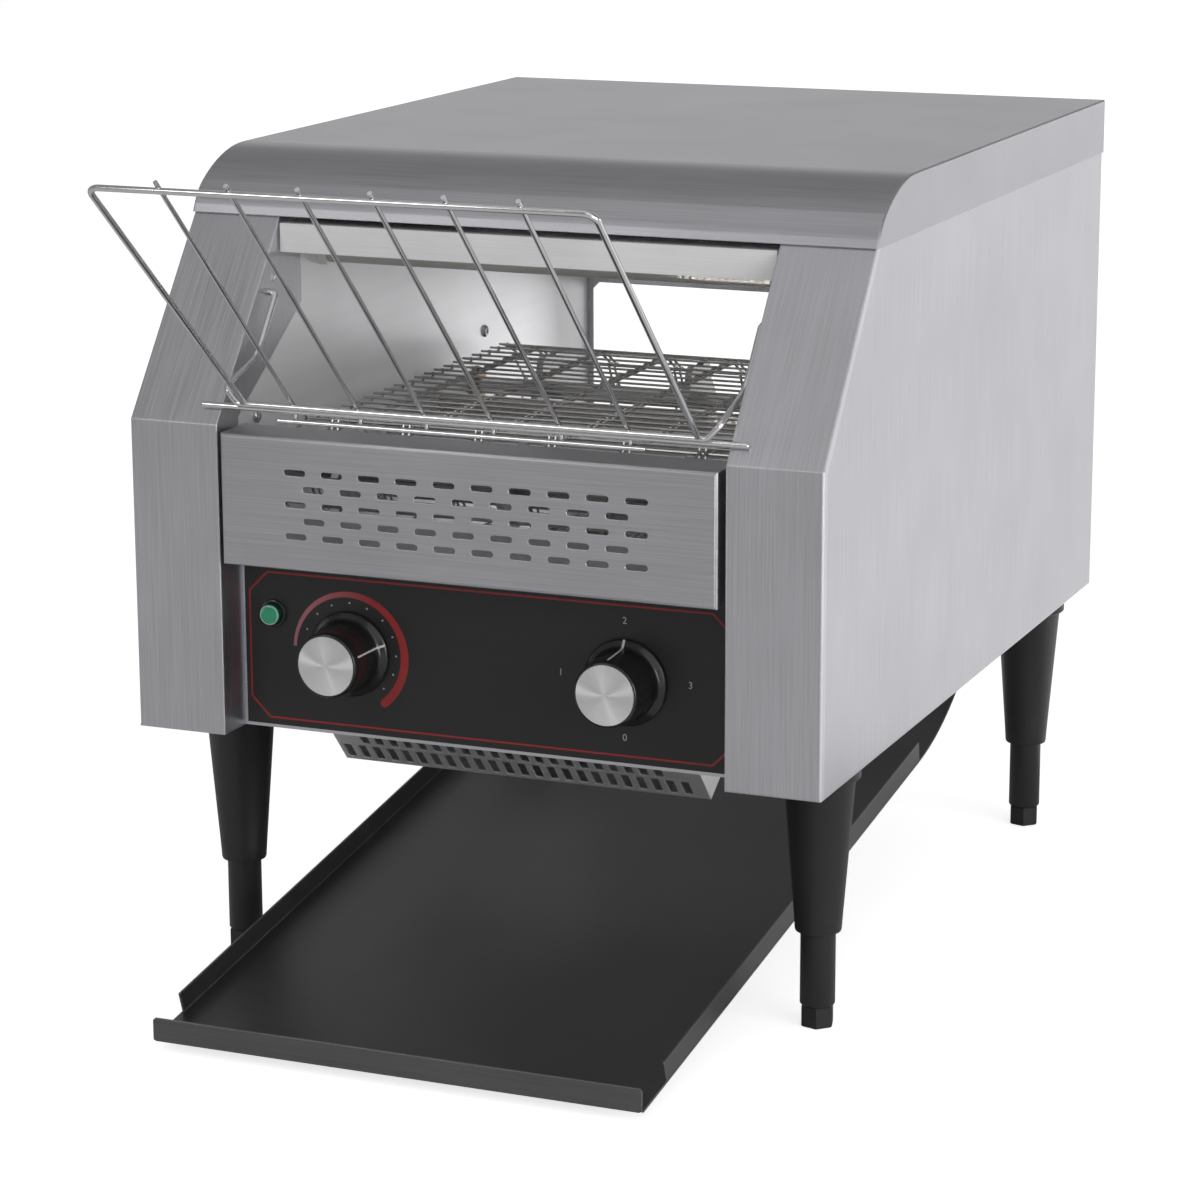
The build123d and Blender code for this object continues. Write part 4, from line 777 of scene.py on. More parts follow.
class TOASTER_OT_vent_panel(bpy.types.Operator):
    """Slotted front panel with rounded slots and folded edges"""

    bl_idname = "toaster.vent_panel"
    bl_label = "Front vent panel"

    def tree(self):
        """Sheet filled between an outline and two grids of rounded slots, then given its thickness."""
        tree, given = piece_tree(
            "Slotted sheet",
            ("Width", "Float", 0.26),
            ("Height", "Float", 0.065),
            ("Thickness", "Float", 0.001),
            ("Slot Length", "Float", 0.0117),
            ("Slot Height", "Float", 0.0032),
            ("Pitch", "Float", 0.0202),
            ("Row Pitch", "Float", 0.008),
            ("Slots", "Int", 10),
        )
        almost_half = 0.498
        kind = "GeometryNodeCurvePrimitiveQuadrilateral"
        outline = result(tree, kind, ("Width", given["Width"]), ("Height", given["Height"]))
        square = result(tree, kind, ("Width", given["Slot Length"]), ("Height", given["Slot Height"]))
        end = maths(tree, "MULTIPLY", given["Slot Height"], almost_half)
        slot = result(
            tree, "GeometryNodeFilletCurve", ("Curve", square), ("Count", 7), ("Radius", end), mode="POLY"
        )
        double = maths(tree, "MULTIPLY", given["Row Pitch"], 2.0)
        shapes = [outline]
        for rows, fewer in ((3, 0.0), (2, 1.0)):
            count = maths(tree, "SUBTRACT", given["Slots"], fewer)
            wide = maths(tree, "MULTIPLY", maths(tree, "SUBTRACT", count, 1.0), given["Pitch"])
            tall = maths(tree, "MULTIPLY", double, rows - 1.0)
            grid = result(
                tree, "GeometryNodeMeshGrid", ("Size X", wide), ("Size Y", tall),
                ("Vertices X", count), ("Vertices Y", rows),
            )
            placed = result(tree, "GeometryNodeInstanceOnPoints", ("Points", grid), ("Instance", slot))
            shapes.append(result(tree, "GeometryNodeRealizeInstances", ("Geometry", placed)))
        outlines = joined(tree, *reversed(shapes))
        face = result(tree, "GeometryNodeFillCurve", ("Curve", outlines), mode="TRIANGLES")
        grown = result(
            tree, "GeometryNodeExtrudeMesh", ("Mesh", face), ("Offset Scale", given["Thickness"]),
            ("Individual", False), mode="FACES",
        )
        both = joined(tree, grown, result(tree, "GeometryNodeFlipFaces", ("Mesh", face)))
        merged = result(tree, "GeometryNodeMergeByDistance", ("Geometry", both), ("Distance", 1e-6))
        return close_piece(tree, given, merged)

    def rim(self, bend, sheet, depth):
        """Section of the folded rim: how far in from the outline and how far back."""
        outer_steps, inner_steps = 6, 3
        outer = [math.radians(90 * step / outer_steps) for step in range(outer_steps + 1)]
        inner = [math.radians(90 - 90 * step / inner_steps) for step in range(inner_steps + 1)]
        section = [(bend * (1 - math.sin(turn)), bend * (1 - math.cos(turn))) for turn in outer]
        section += [(0.0, depth), (sheet, depth)]
        radius = bend - sheet
        return section + [(bend - radius * math.sin(turn), bend - radius * math.cos(turn)) for turn in inner]

    def execute(self, context):
        sizes = context.scene.toaster_vent
        # The front panel's darker colour is painted shade on the front
        colour_of_front = context.scene.toaster_steel.front
        # The edge amounts paint a highlight along the panel's sharp edges
        material = brushed("front_brushed", colour_of_front, ALONG_X, edge=0.0007, polish=0.7)
        low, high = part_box("front_vent_panel")
        width, height = high.x - low.x, high.z - low.z
        centre = middle("front_vent_panel", low.y)
        values = {
            "Width": width - 2 * sizes.bend,
            "Height": height - 2 * sizes.bend,
            "Thickness": sizes.thickness,
            "Slot Length": sizes.slot_length,
            "Slot Height": sizes.slot_height,
            "Pitch": sizes.pitch,
            "Row Pitch": sizes.row_pitch,
            "Slots": sizes.slots,
            "Material": material,
        }
        slab = run_tree("front_sheet", self.tree(), spots("front_sheet", [(0, 0, 0)]), values)
        slab.transform(Matrix.Translation(centre) @ STANDING @ Matrix.Translation((0, 0, -sizes.thickness)))
        build = opened(slab)
        rings = []
        for inset, back in self.rim(sizes.bend, sizes.thickness, high.y - low.y):
            x, z = width / 2 - inset, height / 2 - inset
            corners = [(-x, -z), (x, -z), (x, z), (-x, z)]
            rings.append([build.verts.new(centre + Vector((across, back, up))) for across, up in corners])
        bridged(build, rings + rings[:1])
        mesh = closed("vent_front", build, merge=False)
        finished("vent_front", mesh, material, "chassis", ["front_vent_panel"])
        return {"FINISHED"}


class TOASTER_OT_control_face(bpy.types.Operator):
    """Black face with its red border, colour scale, dots and mode numbers"""

    bl_idname = "toaster.control_face"
    bl_label = "Control face"

    # Millimetres: half width, lower and upper edge and corner cut of the border
    BORDER = (131.3, 142.0, 219.0, 10.5)
    # Millimetres: x and height of the middle of the scale, of its dots and of the numbers
    SCALE_CENTRE = (-75.0, 180.0)
    DOTS = (
        (-98.6, 190.6), (-92.7, 199.1), (-84.6, 204.2), (-74.6, 206.3), (-64.9, 204.2), (-56.4, 198.9),
        (-51.0, 190.8), (-49.1, 181.1), (-50.9, 171.4), (-56.3, 163.6),
    )
    DIGITS = (("0", 74.5, 151.7), ("1", 40.5, 181.7), ("2", 74.5, 210.9), ("3", 109.0, 181.5))
    # The scale runs clockwise from its start, in degrees, and is at its thickest after 4/5 of its sweep
    SCALE_START = 177.5
    SCALE_SWEEP = 229.0
    SCALE_GROWTH = 1.25
    # Millimetres: where the scale is pink at the left and where it has turned red, in x
    PINK_X, RED_X = -105.0, -62.0

    def execute(self, context):
        sizes = context.scene.toaster_controls
        film = moulded("face_film", sizes.face, scale=600.0, rough=0.42, change=0.06, bump=0.05)
        dress(film, "control_face")
        plane = FACE - sizes.ink / 2
        red, grey = printed("red_print", sizes.red), printed("grey_print", sizes.grey)
        loops = [self.border(inset) for inset in (0.0, sizes.border)]
        self.stick("face_border", plate("face_border", loops, sizes.ink, plane), red)
        band = plate("colour_scale", [self.scale(sizes)], sizes.ink, plane)
        self.stick("colour_scale", band, self.fading(sizes))
        ink = [(0, 0), (sizes.dot, 0), (sizes.dot, sizes.ink), (0, sizes.ink)]
        dot = lathe("dot", ink, Vector(), UPWARDS, steps=16)
        places = [(x * MM, FACE, z * MM) for x, z in self.DOTS]
        self.stick("scale_dots", repeated("scale_dots", dot, places, [TO_FRONT] * len(places), grey), grey)
        for digit, x, z in self.DIGITS:
            text = bpy.data.curves.new(f"mode_{digit}", "FONT")
            text.body = digit
            text.size = sizes.digit
            text.align_x = "CENTER"
            text.align_y = "CENTER"
            text.extrude = sizes.ink / 2
            mesh = standing(f"mode_{digit}", text, plane)
            mesh.transform(Matrix.Translation((x * MM, 0, z * MM)))
            self.stick(f"mode_number_{digit}", mesh, grey)
        return {"FINISHED"}

    def stick(self, name, mesh, ink):
        """Fixes a print to the black face."""
        finished(name, mesh, ink, "chassis")

    def border(self, inset):
        """Outline with cut corners, set in from the border's outer line."""
        cut_loss = 0.42  # how much shorter the cut gets, as a share of the inset
        x, low, high, cut = (number * MM for number in self.BORDER)
        x, low, high, cut = x - inset, low + inset, high - inset, cut - inset * cut_loss
        right = [(x - cut, low), (x, low + cut), (x, high - cut), (x - cut, high)]
        return right + [(-across, up) for across, up in reversed(right)]

    def scale(self, sizes):
        """Outline of the band round the left knob, which grows from thin to thick and has a round end."""

        def on_circle(middle_point, reach, turn):
            return (middle_point[0] + reach * math.cos(turn), middle_point[1] + reach * math.sin(turn))

        steps, end_steps = 96, 12
        centre = [place * MM for place in self.SCALE_CENTRE]
        thin, thick, radius = sizes.scale_thin, sizes.scale_thick, sizes.scale_radius
        outer, inner = [], []
        for share in (step / steps for step in range(steps + 1)):
            turn = math.radians(self.SCALE_START - share * self.SCALE_SWEEP)
            half = (thin + (thick - thin) * min(1.0, share * self.SCALE_GROWTH)) / 2
            outer.append(on_circle(centre, radius + half, turn))
            inner.append(on_circle(centre, radius - half, turn))
        last = math.radians(self.SCALE_START - self.SCALE_SWEEP)
        tip = on_circle(centre, radius, last)
        tail = [on_circle(tip, thick / 2, last - math.pi * step / end_steps) for step in range(1, end_steps)]
        return outer + tail + inner[::-1]

    def fading(self, sizes):
        """Print that turns from pink at the left to red at the right."""
        made = printed("scale_print", sizes.red)
        tree = made.node_tree
        place = tree.nodes.new("ShaderNodeTexCoord").outputs["Object"]
        across = result(tree, "ShaderNodeSeparateXYZ", (0, place))
        share = result(
            tree, "ShaderNodeMapRange", ("Value", across),
            ("From Min", self.PINK_X * MM), ("From Max", self.RED_X * MM),
        )
        mixed = linked(
            tree, "ShaderNodeMix", ("Factor", share), (6, (*sizes.pink, 1.0)), (7, (*sizes.red, 1.0)),
            data_type="RGBA",
        )
        tree.links.new(mixed.outputs[2], tree.nodes["Principled BSDF"].inputs["Base Color"])
        return made


class TOASTER_OT_knobs(bpy.types.Operator):
    """Two moulded knobs with skirts, pointer lines and spun aluminium caps"""

    bl_idname = "toaster.knobs"
    bl_label = "Knobs"

    # Radius and height above the control face, in millimetres
    GRIP = (
        (0, 0), (20.0, 0), (21.7, 0.3), (22.0, 0.8), (21.9, 1.3), (21.2, 1.9), (19.4, 2.9), (18.4, 3.7),
        (17.9, 4.8), (17.7, 6.5), (17.2, 14.0), (16.75, 23.5), (16.6, 25.4), (16.3, 26.4), (15.9, 26.9),
        (15.5, 27.0), (15.42, 26.9), (15.4, 25.7), (0, 25.7),
    )
    DISC = ((0, 25.7), (15.3, 25.7), (15.3, 26.75), (15.15, 26.95), (14.9, 27.0), (0, 27.0))
    POINTER = (
        (21.75, 1.55), (21.2, 2.0), (19.4, 3.0), (18.45, 3.8), (17.97, 4.8), (17.77, 6.5), (17.27, 14.0),
        (16.84, 22.9),
    )
    # Where the skirt starts, in millimetres, the pointer's half width on it and on the grip, in metres
    SKIRT_RADIUS = 18
    SKIRT_HALF, GRIP_HALF = 0.0006, 0.00045
    # The ribbon stands proud of the knob by one lift and reaches three lifts into it
    LIFT, DEPTH_IN_LIFTS = 0.00008, 4
    # Growth of the second UV number for each metre from the middle of the disc
    UV_PER_METRE = 20

    def execute(self, context):
        sizes = context.scene.toaster_controls
        black = moulded(
            "knob_black", sizes.knob, scale=500.0, rough=0.27, change=0.1, bump=0.04, Coat_Weight=0.3
        )
        white = moulded("pointer_white", POINTER_WHITE, scale=600.0, change=0.05, bump=0.03)
        spun = self.spun(sizes.cap)
        for name, pointer in (("colour", 18.0), ("mode", 90.0)):
            origin = middle(f"{name}_knob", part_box(f"{name}_knob")[1].y)
            body = f"{name}_dial"
            grip = lathe(f"{name}_grip", millimetres(self.GRIP), origin, TO_FRONT, steps=96)
            finished(f"{name}_grip", grip, black, body, [f"{name}_knob"], angle=50)
            disc = lathe(f"{name}_disc", millimetres(self.DISC), origin, TO_FRONT, steps=96)
            self.wrap(disc, origin)
            finished(f"{name}_disc", disc, spun, body, [f"{name}_knob_cap"])
            finished(f"{name}_pointer", self.pointer(name, origin, pointer), white, body)
        return {"FINISHED"}

    def pointer(self, name, origin, degrees):
        """A thin ribbon that follows the knob from its rim up to the cap."""
        out = Vector((math.cos(math.radians(degrees)), 0, math.sin(math.radians(degrees))))
        side = TO_FRONT.cross(out)
        lift = (out + TO_FRONT * 0.6) * self.LIFT
        build = bmesh.new()
        rings = []
        for radius, along in self.POINTER:
            half = side * (self.GRIP_HALF if radius < self.SKIRT_RADIUS else self.SKIRT_HALF)
            top = origin + out * radius * MM + TO_FRONT * along * MM + lift
            low = top - lift * self.DEPTH_IN_LIFTS
            corners = (top - half, top + half, low + half, low - half)
            rings.append([build.verts.new(corner) for corner in corners])
        bridged(build, rings)
        build.faces.new(rings[0][::-1])
        build.faces.new(rings[-1])
        return closed(f"{name}_pointer", build)

    def wrap(self, mesh, origin):
        """UV map whose first direction runs round the disc."""
        places = mesh.uv_layers.new(name="round").data
        offsets = [(mesh.vertices[loop.vertex_index].co - origin).xz for loop in mesh.loops]
        for place, offset in zip(places, offsets):
            place.uv = (math.atan2(offset.y, offset.x) / math.tau, offset.length * self.UV_PER_METRE)
        for face in mesh.polygons:
            # A face over the seam has its low corners moved on by one turn
            around = [places[i].uv for i in face.loop_indices]
            if max(uv.x for uv in around) - min(uv.x for uv in around) > 0.5:
                for uv in around:
                    if uv.x < 0:
                        uv.x += 1.0
            # The corner at the middle of the disc takes the mean of the others
            poles = [i for i in face.loop_indices if offsets[i].length < 1e-6]
            others = [places[i].uv.x for i in face.loop_indices if i not in poles]
            for i in poles:
                places[i].uv.x = sum(others) / len(others)

    def spun(self, rgb):
        """Spun aluminium: highlights fan out from the middle."""
        made = brushed("spun_aluminium", rgb, even(40.0), contrast=0.02, cloud=0.02, bump=0.0, change=0.03)
        tree = made.node_tree
        shader = tree.nodes["Principled BSDF"]
        shader.inputs["Anisotropic"].default_value = 0.95
        tangent = result(tree, "ShaderNodeTangent", direction_type="UV_MAP", uv_map="round")
        tree.links.new(tangent, shader.inputs["Tangent"])
        return made


class TOASTER_OT_lamp(bpy.types.Operator):
    """Signal lamp: black collar, green lens and its pale rim"""

    bl_idname = "toaster.lamp"
    bl_label = "Signal lamp"

    # Radius and height above the control face, in millimetres. The lens also reaches back into its ring
    COLLAR = (
        (4.95, 0), (6.9, 0), (7.0, 0.2), (7.0, 0.9), (6.7, 1.2), (6.0, 1.35), (5.85, 1.7), (5.8, 3.6),
        (5.6, 3.95), (5.2, 4.0), (4.95, 3.9), (4.95, 0),
    )
    LENS = ((4.9, 0), (4.9, 4.6), (4.75, 5.4), (4.3, 5.75), (3.0, 5.95), (0, 6.0))
    RIM = ((4.75, 5.0), (5.1, 5.0), (5.12, 5.5), (4.95, 5.75), (4.6, 5.8), (4.5, 5.6), (4.75, 5.0))

    def execute(self, context):
        green = context.scene.toaster_controls.lamp
        origin = middle("lamp_ring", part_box("lamp_ring")[1].y)
        collar = moulded("lamp_collar", COLLAR_BLACK, scale=500.0, rough=0.22, change=0.05, bump=0.02)
        lens = moulded(
            "lamp_lens_green", green, scale=350.0, rough=0.22, change=0.35, bump=0.25, distance=0.0001,
            Coat_Weight=0.4, Emission_Color=(*green, 1.0), Emission_Strength=0.35,
        )
        pale = moulded("lamp_rim", PALE_GREEN, scale=500.0, rough=0.3, change=0.05, bump=0.02)
        reach = (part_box("lamp_lens")[1].y - origin.y) / MM
        window = ((0, -reach), (4.6, -reach), *self.LENS)
        for name, profile, material, slot, replaced in (
            ("lamp_collar", self.COLLAR, collar, "lamp_ring", ["lamp_ring"]),
            ("lamp_window", window, lens, "lamp_green", ["lamp_lens"]),
            ("lamp_rim", self.RIM, pale, "lamp_green", []),
        ):
            mesh = lathe(name, millimetres(profile), origin, TO_FRONT, steps=48)
            finished(name, mesh, material, "chassis", replaced)
        return {"FINISHED"}


class TOASTER_OT_legs(bpy.types.Operator):
    """Four tapered leg sleeves and the feet that slide in them"""

    bl_idname = "toaster.legs"
    bl_label = "Legs and feet"

    def execute(self, context):
        sizes = context.scene.toaster_legs
        black = moulded("leg_black", sizes.black, scale=1300.0, rough=0.42, bump=0.35, distance=0.00012)
        for place in ("front_left", "front_right", "rear_left", "rear_right"):
            low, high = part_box(f"leg_{place}")
            origin = Vector(((low.x + high.x) / 2, (low.y + high.y) / 2, 0))
            section = self.sleeve(sizes, low.z, high.z)
            sleeve = lathe(f"sleeve_{place}", section, origin, UPWARDS, steps=64)
            finished(f"sleeve_{place}", sleeve, black, "chassis", [f"leg_{place}"], angle=40)
            shank = self.shank(f"foot_{place}_shape", sizes.foot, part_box(f"foot_{place}")[1].z, origin)
            finished(f"shank_{place}", shank, black, f"foot_{place}_body", [f"foot_{place}"])
        return {"FINISHED"}

    def sleeve(self, sizes, bottom, stud_top):
        """Section of a sleeve: the hole for the foot, the cone, the flange and the stud above it."""
        gap, hole, stud = 0.0001, 0.02, 0.004
        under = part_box("side_panel_right")[0].z - gap
        flange, top, low, bore = sizes.flange, sizes.top, sizes.low, sizes.foot + gap
        return [
            (0, bottom + hole), (bore, bottom + hole), (bore, bottom), (low - 0.0012, bottom),
            (low - 0.0003, bottom + 0.0004), (low, bottom + 0.0013), (low + 0.0006, bottom + 0.010),
            (top - 0.0002, under - 0.0085), (top + 0.0008, under - 0.0073), (flange - 0.0006, under - 0.0070),
            (flange, under - 0.0064), (flange, under - 0.0006), (flange - 0.0005, under), (stud, under),
            (stud, stud_top), (0, stud_top),
        ]

    def shank(self, name, radius, top, origin):
        """Mesh of a foot: a round shank on a six-sided end."""
        end = 0.0116
        build = bmesh.new()
        shaft = [(0, end), (radius - 0.0004, end), (radius, end + 0.0006), (radius, top), (0, top)]
        turned(build, shaft, origin, UPWARDS, steps=48)
        foot = [
            (0, 0), (radius - 0.0010, 0), (radius, 0.0008), (radius, end - 0.0008), (radius - 0.0007, end),
            (0, end),
        ]
        turned(build, foot, origin, UPWARDS, steps=6)
        return closed(name, build)


class TOASTER_OT_loading_rack(bpy.types.Operator):
    """Bent wire rack: frame, hanger, bars and rods"""

    bl_idname = "toaster.loading_rack"
    bl_label = "Loading rack"

    # Millimetres: half of the hanger, half of the frame, and where the slope of the bars starts
    HANGER = (
        (140.0, 59.5, 355.1), (131.0, 59.5, 355.1), (131.0, 37.7, 327.1), (131.0, 3.0, 315.5),
        (124.6, 2.208, 308.231),
    )
    FRAME = ((120.5, 1.0, 309.33), (125.0, -136.234, 432.448))
    SLOPE_START = (2.208, 308.231)
    SLOPE = 41.9
    ABOVE_FRAME = 2.83
    BARS, SPREAD = 6, 250.0 / 7
    BAR_TOP, BAR_LOW, BAR_SHIFT, BAR_HOOK = 188.8, -5.6, 6.0, 7.4

    def execute(self, context):
        sizes = context.scene.toaster_rack
        polished = context.scene.toaster_steel.wire
        chrome = brushed(
            "polished_wire", polished, even(60.0), rough=0.12, contrast=0.03, cloud=0.02, bump=0.0
        )
        thick, thin = sizes.wire / 2, sizes.bar / 2
        line = [at(-x, *place) for x, *place in self.HANGER] + [at(*place) for place in self.HANGER[::-1]]
        radii = [0.003, 0.025, 0.004, 0.0045]
        hanger = wires("hanger_wire", [rounded(line, radii + radii[::-1])], thick, resolution=5)
        self.fit("hanger_wire", hanger, chrome, "rack_hanger")
        line = [at(-x, *place) for x, *place in self.FRAME] + [at(*place) for place in self.FRAME[::-1]]
        frame_wire = wires("frame_wire", [rounded(line, [sizes.bend] * 2)], thick, resolution=5)
        self.fit("frame_wire", frame_wire, chrome, "rack_frame")
        bars = []
        for index in range(self.BARS):
            x = (index - (self.BARS - 1) / 2) * self.SPREAD
            line = [self.on_slope(x, self.BAR_TOP), self.on_slope(x - self.BAR_SHIFT, self.BAR_LOW)]
            line.append(line[-1] - UPWARDS * self.BAR_HOOK * MM)
            bars.append(rounded(line, [sizes.bend], steps=5))
        self.fit("bar_wires", wires("bar_wires", bars, thin, resolution=4), chrome, "rack_bars")
        self.fit("rod_wires", self.rods(thick, thin), chrome, "rack_rods")
        return {"FINISHED"}

    def fit(self, name, mesh, chrome, node):
        """Sets a wire piece on the rack in place of its node."""
        finished(name, mesh, chrome, "loading_rack", [node])

    def on_slope(self, x, along):
        """Point on the bars: x, and distance up the slope, in millimetres."""
        depth, height = self.SLOPE_START
        run, rise = math.cos(math.radians(self.SLOPE)), math.sin(math.radians(self.SLOPE))
        off = self.ABOVE_FRAME
        return at(x, depth - along * run + off * rise, height + along * rise + off * run)

    def rods(self, thick, thin):
        """Mesh of the stop rod and of the short rod behind the hooks of the bars."""
        clearance = 0.00003
        behind = Vector((0, -2 * thin - clearance, thin - self.BAR_HOOK * MM))
        build = bmesh.new()
        for start, end, radius in (
            (at(-145.0, 4.612, 306.074), at(145.0, 4.612, 306.074), thick),
            (self.on_slope(-104.0, self.BAR_LOW) + behind, self.on_slope(92.0, self.BAR_LOW) + behind, thin),
        ):
            reach, ease = (end - start).length, radius * 0.25
            near = [(0, 0), (radius - ease, 0), (radius, ease)]
            far = [(radius, reach - ease), (radius - ease, reach), (0, reach)]
            turned(build, near + far, start, TO_RIGHT, steps=20)
        return closed("rod_wires", build)


class TOASTER_OT_belt(bpy.types.Operator):
    """Wire link belt: one strand repeated round the two shafts"""

    bl_idname = "toaster.belt"
    bl_label = "Wire link belt"

    # Teeth round a shaft and pitches between the shafts. The rest is in millimetres
    TEETH = 12
    PITCHES = 20
    SHAFT_HEIGHT = 263.5
    FRONT_SHAFT = 62.0
    REAR_SHAFT = 316.0

    def tree(self):
        """Sets a strand on every point of a loop, turned to the loop's direction."""
        tree, given = piece_tree("Strands round a loop", ("Strand", "Object"))
        tangent = result(tree, "GeometryNodeInputTangent")
        turn = result(
            tree, "FunctionNodeAlignRotationToVector", ("Vector", tangent), axis="Y", pivot_axis="X"
        )
        placed = result(
            tree, "GeometryNodeInstanceOnPoints", ("Points", given["Geometry"]),
            ("Instance", shape_of(tree, given["Strand"])), ("Rotation", turn),
        )
        return close_piece(tree, given, placed)

    def strand(self, sizes):
        """One strand: a rod with hooked ends and its link loops."""
        pitch, wire = sizes.pitch, sizes.wire
        # Hooks and links lie this far under the rods, and the hooks this far in from the edge
        drop, hook_inset = wire * 1.15, 0.004
        edge = sizes.half_width - wire / 2
        inner = edge - hook_inset
        # Half of the rod, from the tip of its hook, which goes under the next rod, to its end
        half = [
            (inner, pitch + 0.0016, 0.0007), (inner, pitch + 0.0019, -drop), (inner, pitch - drop, -drop),
            (edge, 0, 0),
        ]
        paths = [[(-x, y, z) for x, y, z in half] + half[::-1]]
        # A link: places along the belt, with the share of the drop at each
        link_half, overlap = 0.0017, 0.0013
        link = ((-overlap, 0.6), (0.0, 1.0), (pitch, 1.0), (pitch + overlap, 0.5))
        for column in range(sizes.links):
            for side in (-link_half, link_half):
                x = (column - (sizes.links - 1) / 2) * sizes.spacing + side
                paths.append([(x, y, -drop * share) for y, share in link])
        thinner = 0.92
        return wires("strand", paths, wire / 2 * thinner, resolution=1)

    def loop(self, pitch):
        """Places of the strands: along the top, round the rear shaft, back and round the front shaft."""
        radius = pitch / (2 * math.sin(math.radians(180 / self.TEETH)))
        front, rear = at(0, self.FRONT_SHAFT, self.SHAFT_HEIGHT), at(0, self.REAR_SHAFT, self.SHAFT_HEIGHT)
        turns = [math.radians(360 / self.TEETH * tooth) for tooth in range(1, self.TEETH // 2)]
        places = []
        for shaft, other, ahead in ((front, rear, 1), (rear, front, -1)):
            run = [Vector((0, index * pitch, radius)) for index in range(self.PITCHES + 1)]
            places += [shaft + place * ahead for place in run]
            bend = [Vector((0, math.sin(turn), math.cos(turn))) * radius for turn in turns]
            places += [other + place * ahead for place in bend]
        return places

    def execute(self, context):
        sizes = context.scene.toaster_belt
        material = brushed(
            "belt_wire", context.scene.toaster_steel.belt, ALONG_X, rough=0.28, contrast=0.10, cloud=0.15
        )
        curve = lines_curve("belt_loop", [self.loop(sizes.pitch)], True, dimensions="3D")
        strand = bpy.data.objects.new("strand", self.strand(sizes))
        mesh = run_tree("belt_wires", self.tree(), curve, {"Strand": strand, "Material": material})
        bpy.data.objects.remove(strand)
        finished("belt_wires", mesh, material, "chassis", ["conveyor_belt"])
        return {"FINISHED"}


class TOASTER_OT_heaters(bpy.types.Operator):
    """Quartz heater tubes with a coil of resistance wire inside each"""

    bl_idname = "toaster.heaters"
    bl_label = "Heaters"

    # Millimetres: depth of the first tube, distance between tubes, number of tubes and their height
    ROWS = {"upper_heaters": (122.0, 56.0, 4, 367.0), "lower_heaters": (120.0, 69.0, 3, 263.5)}
    # Metres: inner and outer radius of the glass, sizes of the coil and the room at each of its ends
    BORE, OUTER = 0.004, 0.005
    COIL_RADIUS, COIL_TURNS, COIL_WIRE, END_ROOM = 0.0027, 66.0, 0.00045, 0.003

    def tree(self):
        """Sets a lying coil on every point."""
        tree, given = piece_tree(
            "Coils",
            ("Length", "Float", 0.25),
            ("Radius", "Float", 0.003),
            ("Turns", "Float", 60.0),
            ("Wire", "Float", 0.0005),
        )
        spiral = result(
            tree, "GeometryNodeCurveSpiral", ("Resolution", 9), ("Rotations", given["Turns"]),
            ("Start Radius", given["Radius"]), ("End Radius", given["Radius"]), ("Height", given["Length"]),
        )
        ring = result(tree, "GeometryNodeCurvePrimitiveCircle", ("Resolution", 4), ("Radius", given["Wire"]))
        tube = result(
            tree, "GeometryNodeCurveToMesh", ("Curve", spiral), ("Profile Curve", ring), ("Fill Caps", True)
        )
        points = result(tree, "GeometryNodeMeshToPoints", ("Mesh", given["Geometry"]))
        placed = result(
            tree, "GeometryNodeInstanceOnPoints", ("Points", points), ("Instance", tube),
            ("Rotation", (0.0, math.pi / 2, 0.0)),
        )
        return close_piece(tree, given, placed)

    def execute(self, context):
        quartz = moulded(
            "quartz_tube", QUARTZ, scale=300.0, rough=0.12, change=0.04, bump=0.02, Transmission_Weight=0.55
        )
        coil = brushed("coil_wire", HEATER_WIRE, even(500.0), rough=0.4, contrast=0.1)
        tree = self.tree()
        for name, (first, spacing, count, height) in self.ROWS.items():
            low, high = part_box(name)
            reach = high.x - low.x
            starts = [at(low.x / MM, first + spacing * index, height) for index in range(count)]
            build = bmesh.new()
            corners = [(self.BORE, 0.0), (self.OUTER, 0.0), (self.OUTER, reach), (self.BORE, reach)]
            for start in starts:
                turned(build, corners + corners[:1], start, TO_RIGHT, steps=24)
            finished(f"{name}_glass", closed(f"{name}_glass", build), quartz, "chassis", [name])
            values = {
                "Length": reach - 2 * self.END_ROOM,
                "Radius": self.COIL_RADIUS,
                "Turns": self.COIL_TURNS,
                "Wire": self.COIL_WIRE,
                "Material": coil,
            }
            places = [start + TO_RIGHT * self.END_ROOM for start in starts]
            mesh = run_tree(f"{name}_coils", tree, spots(f"{name}_coils", places), values)
            finished(f"{name}_coils", mesh, coil, "chassis")
        return {"FINISHED"}


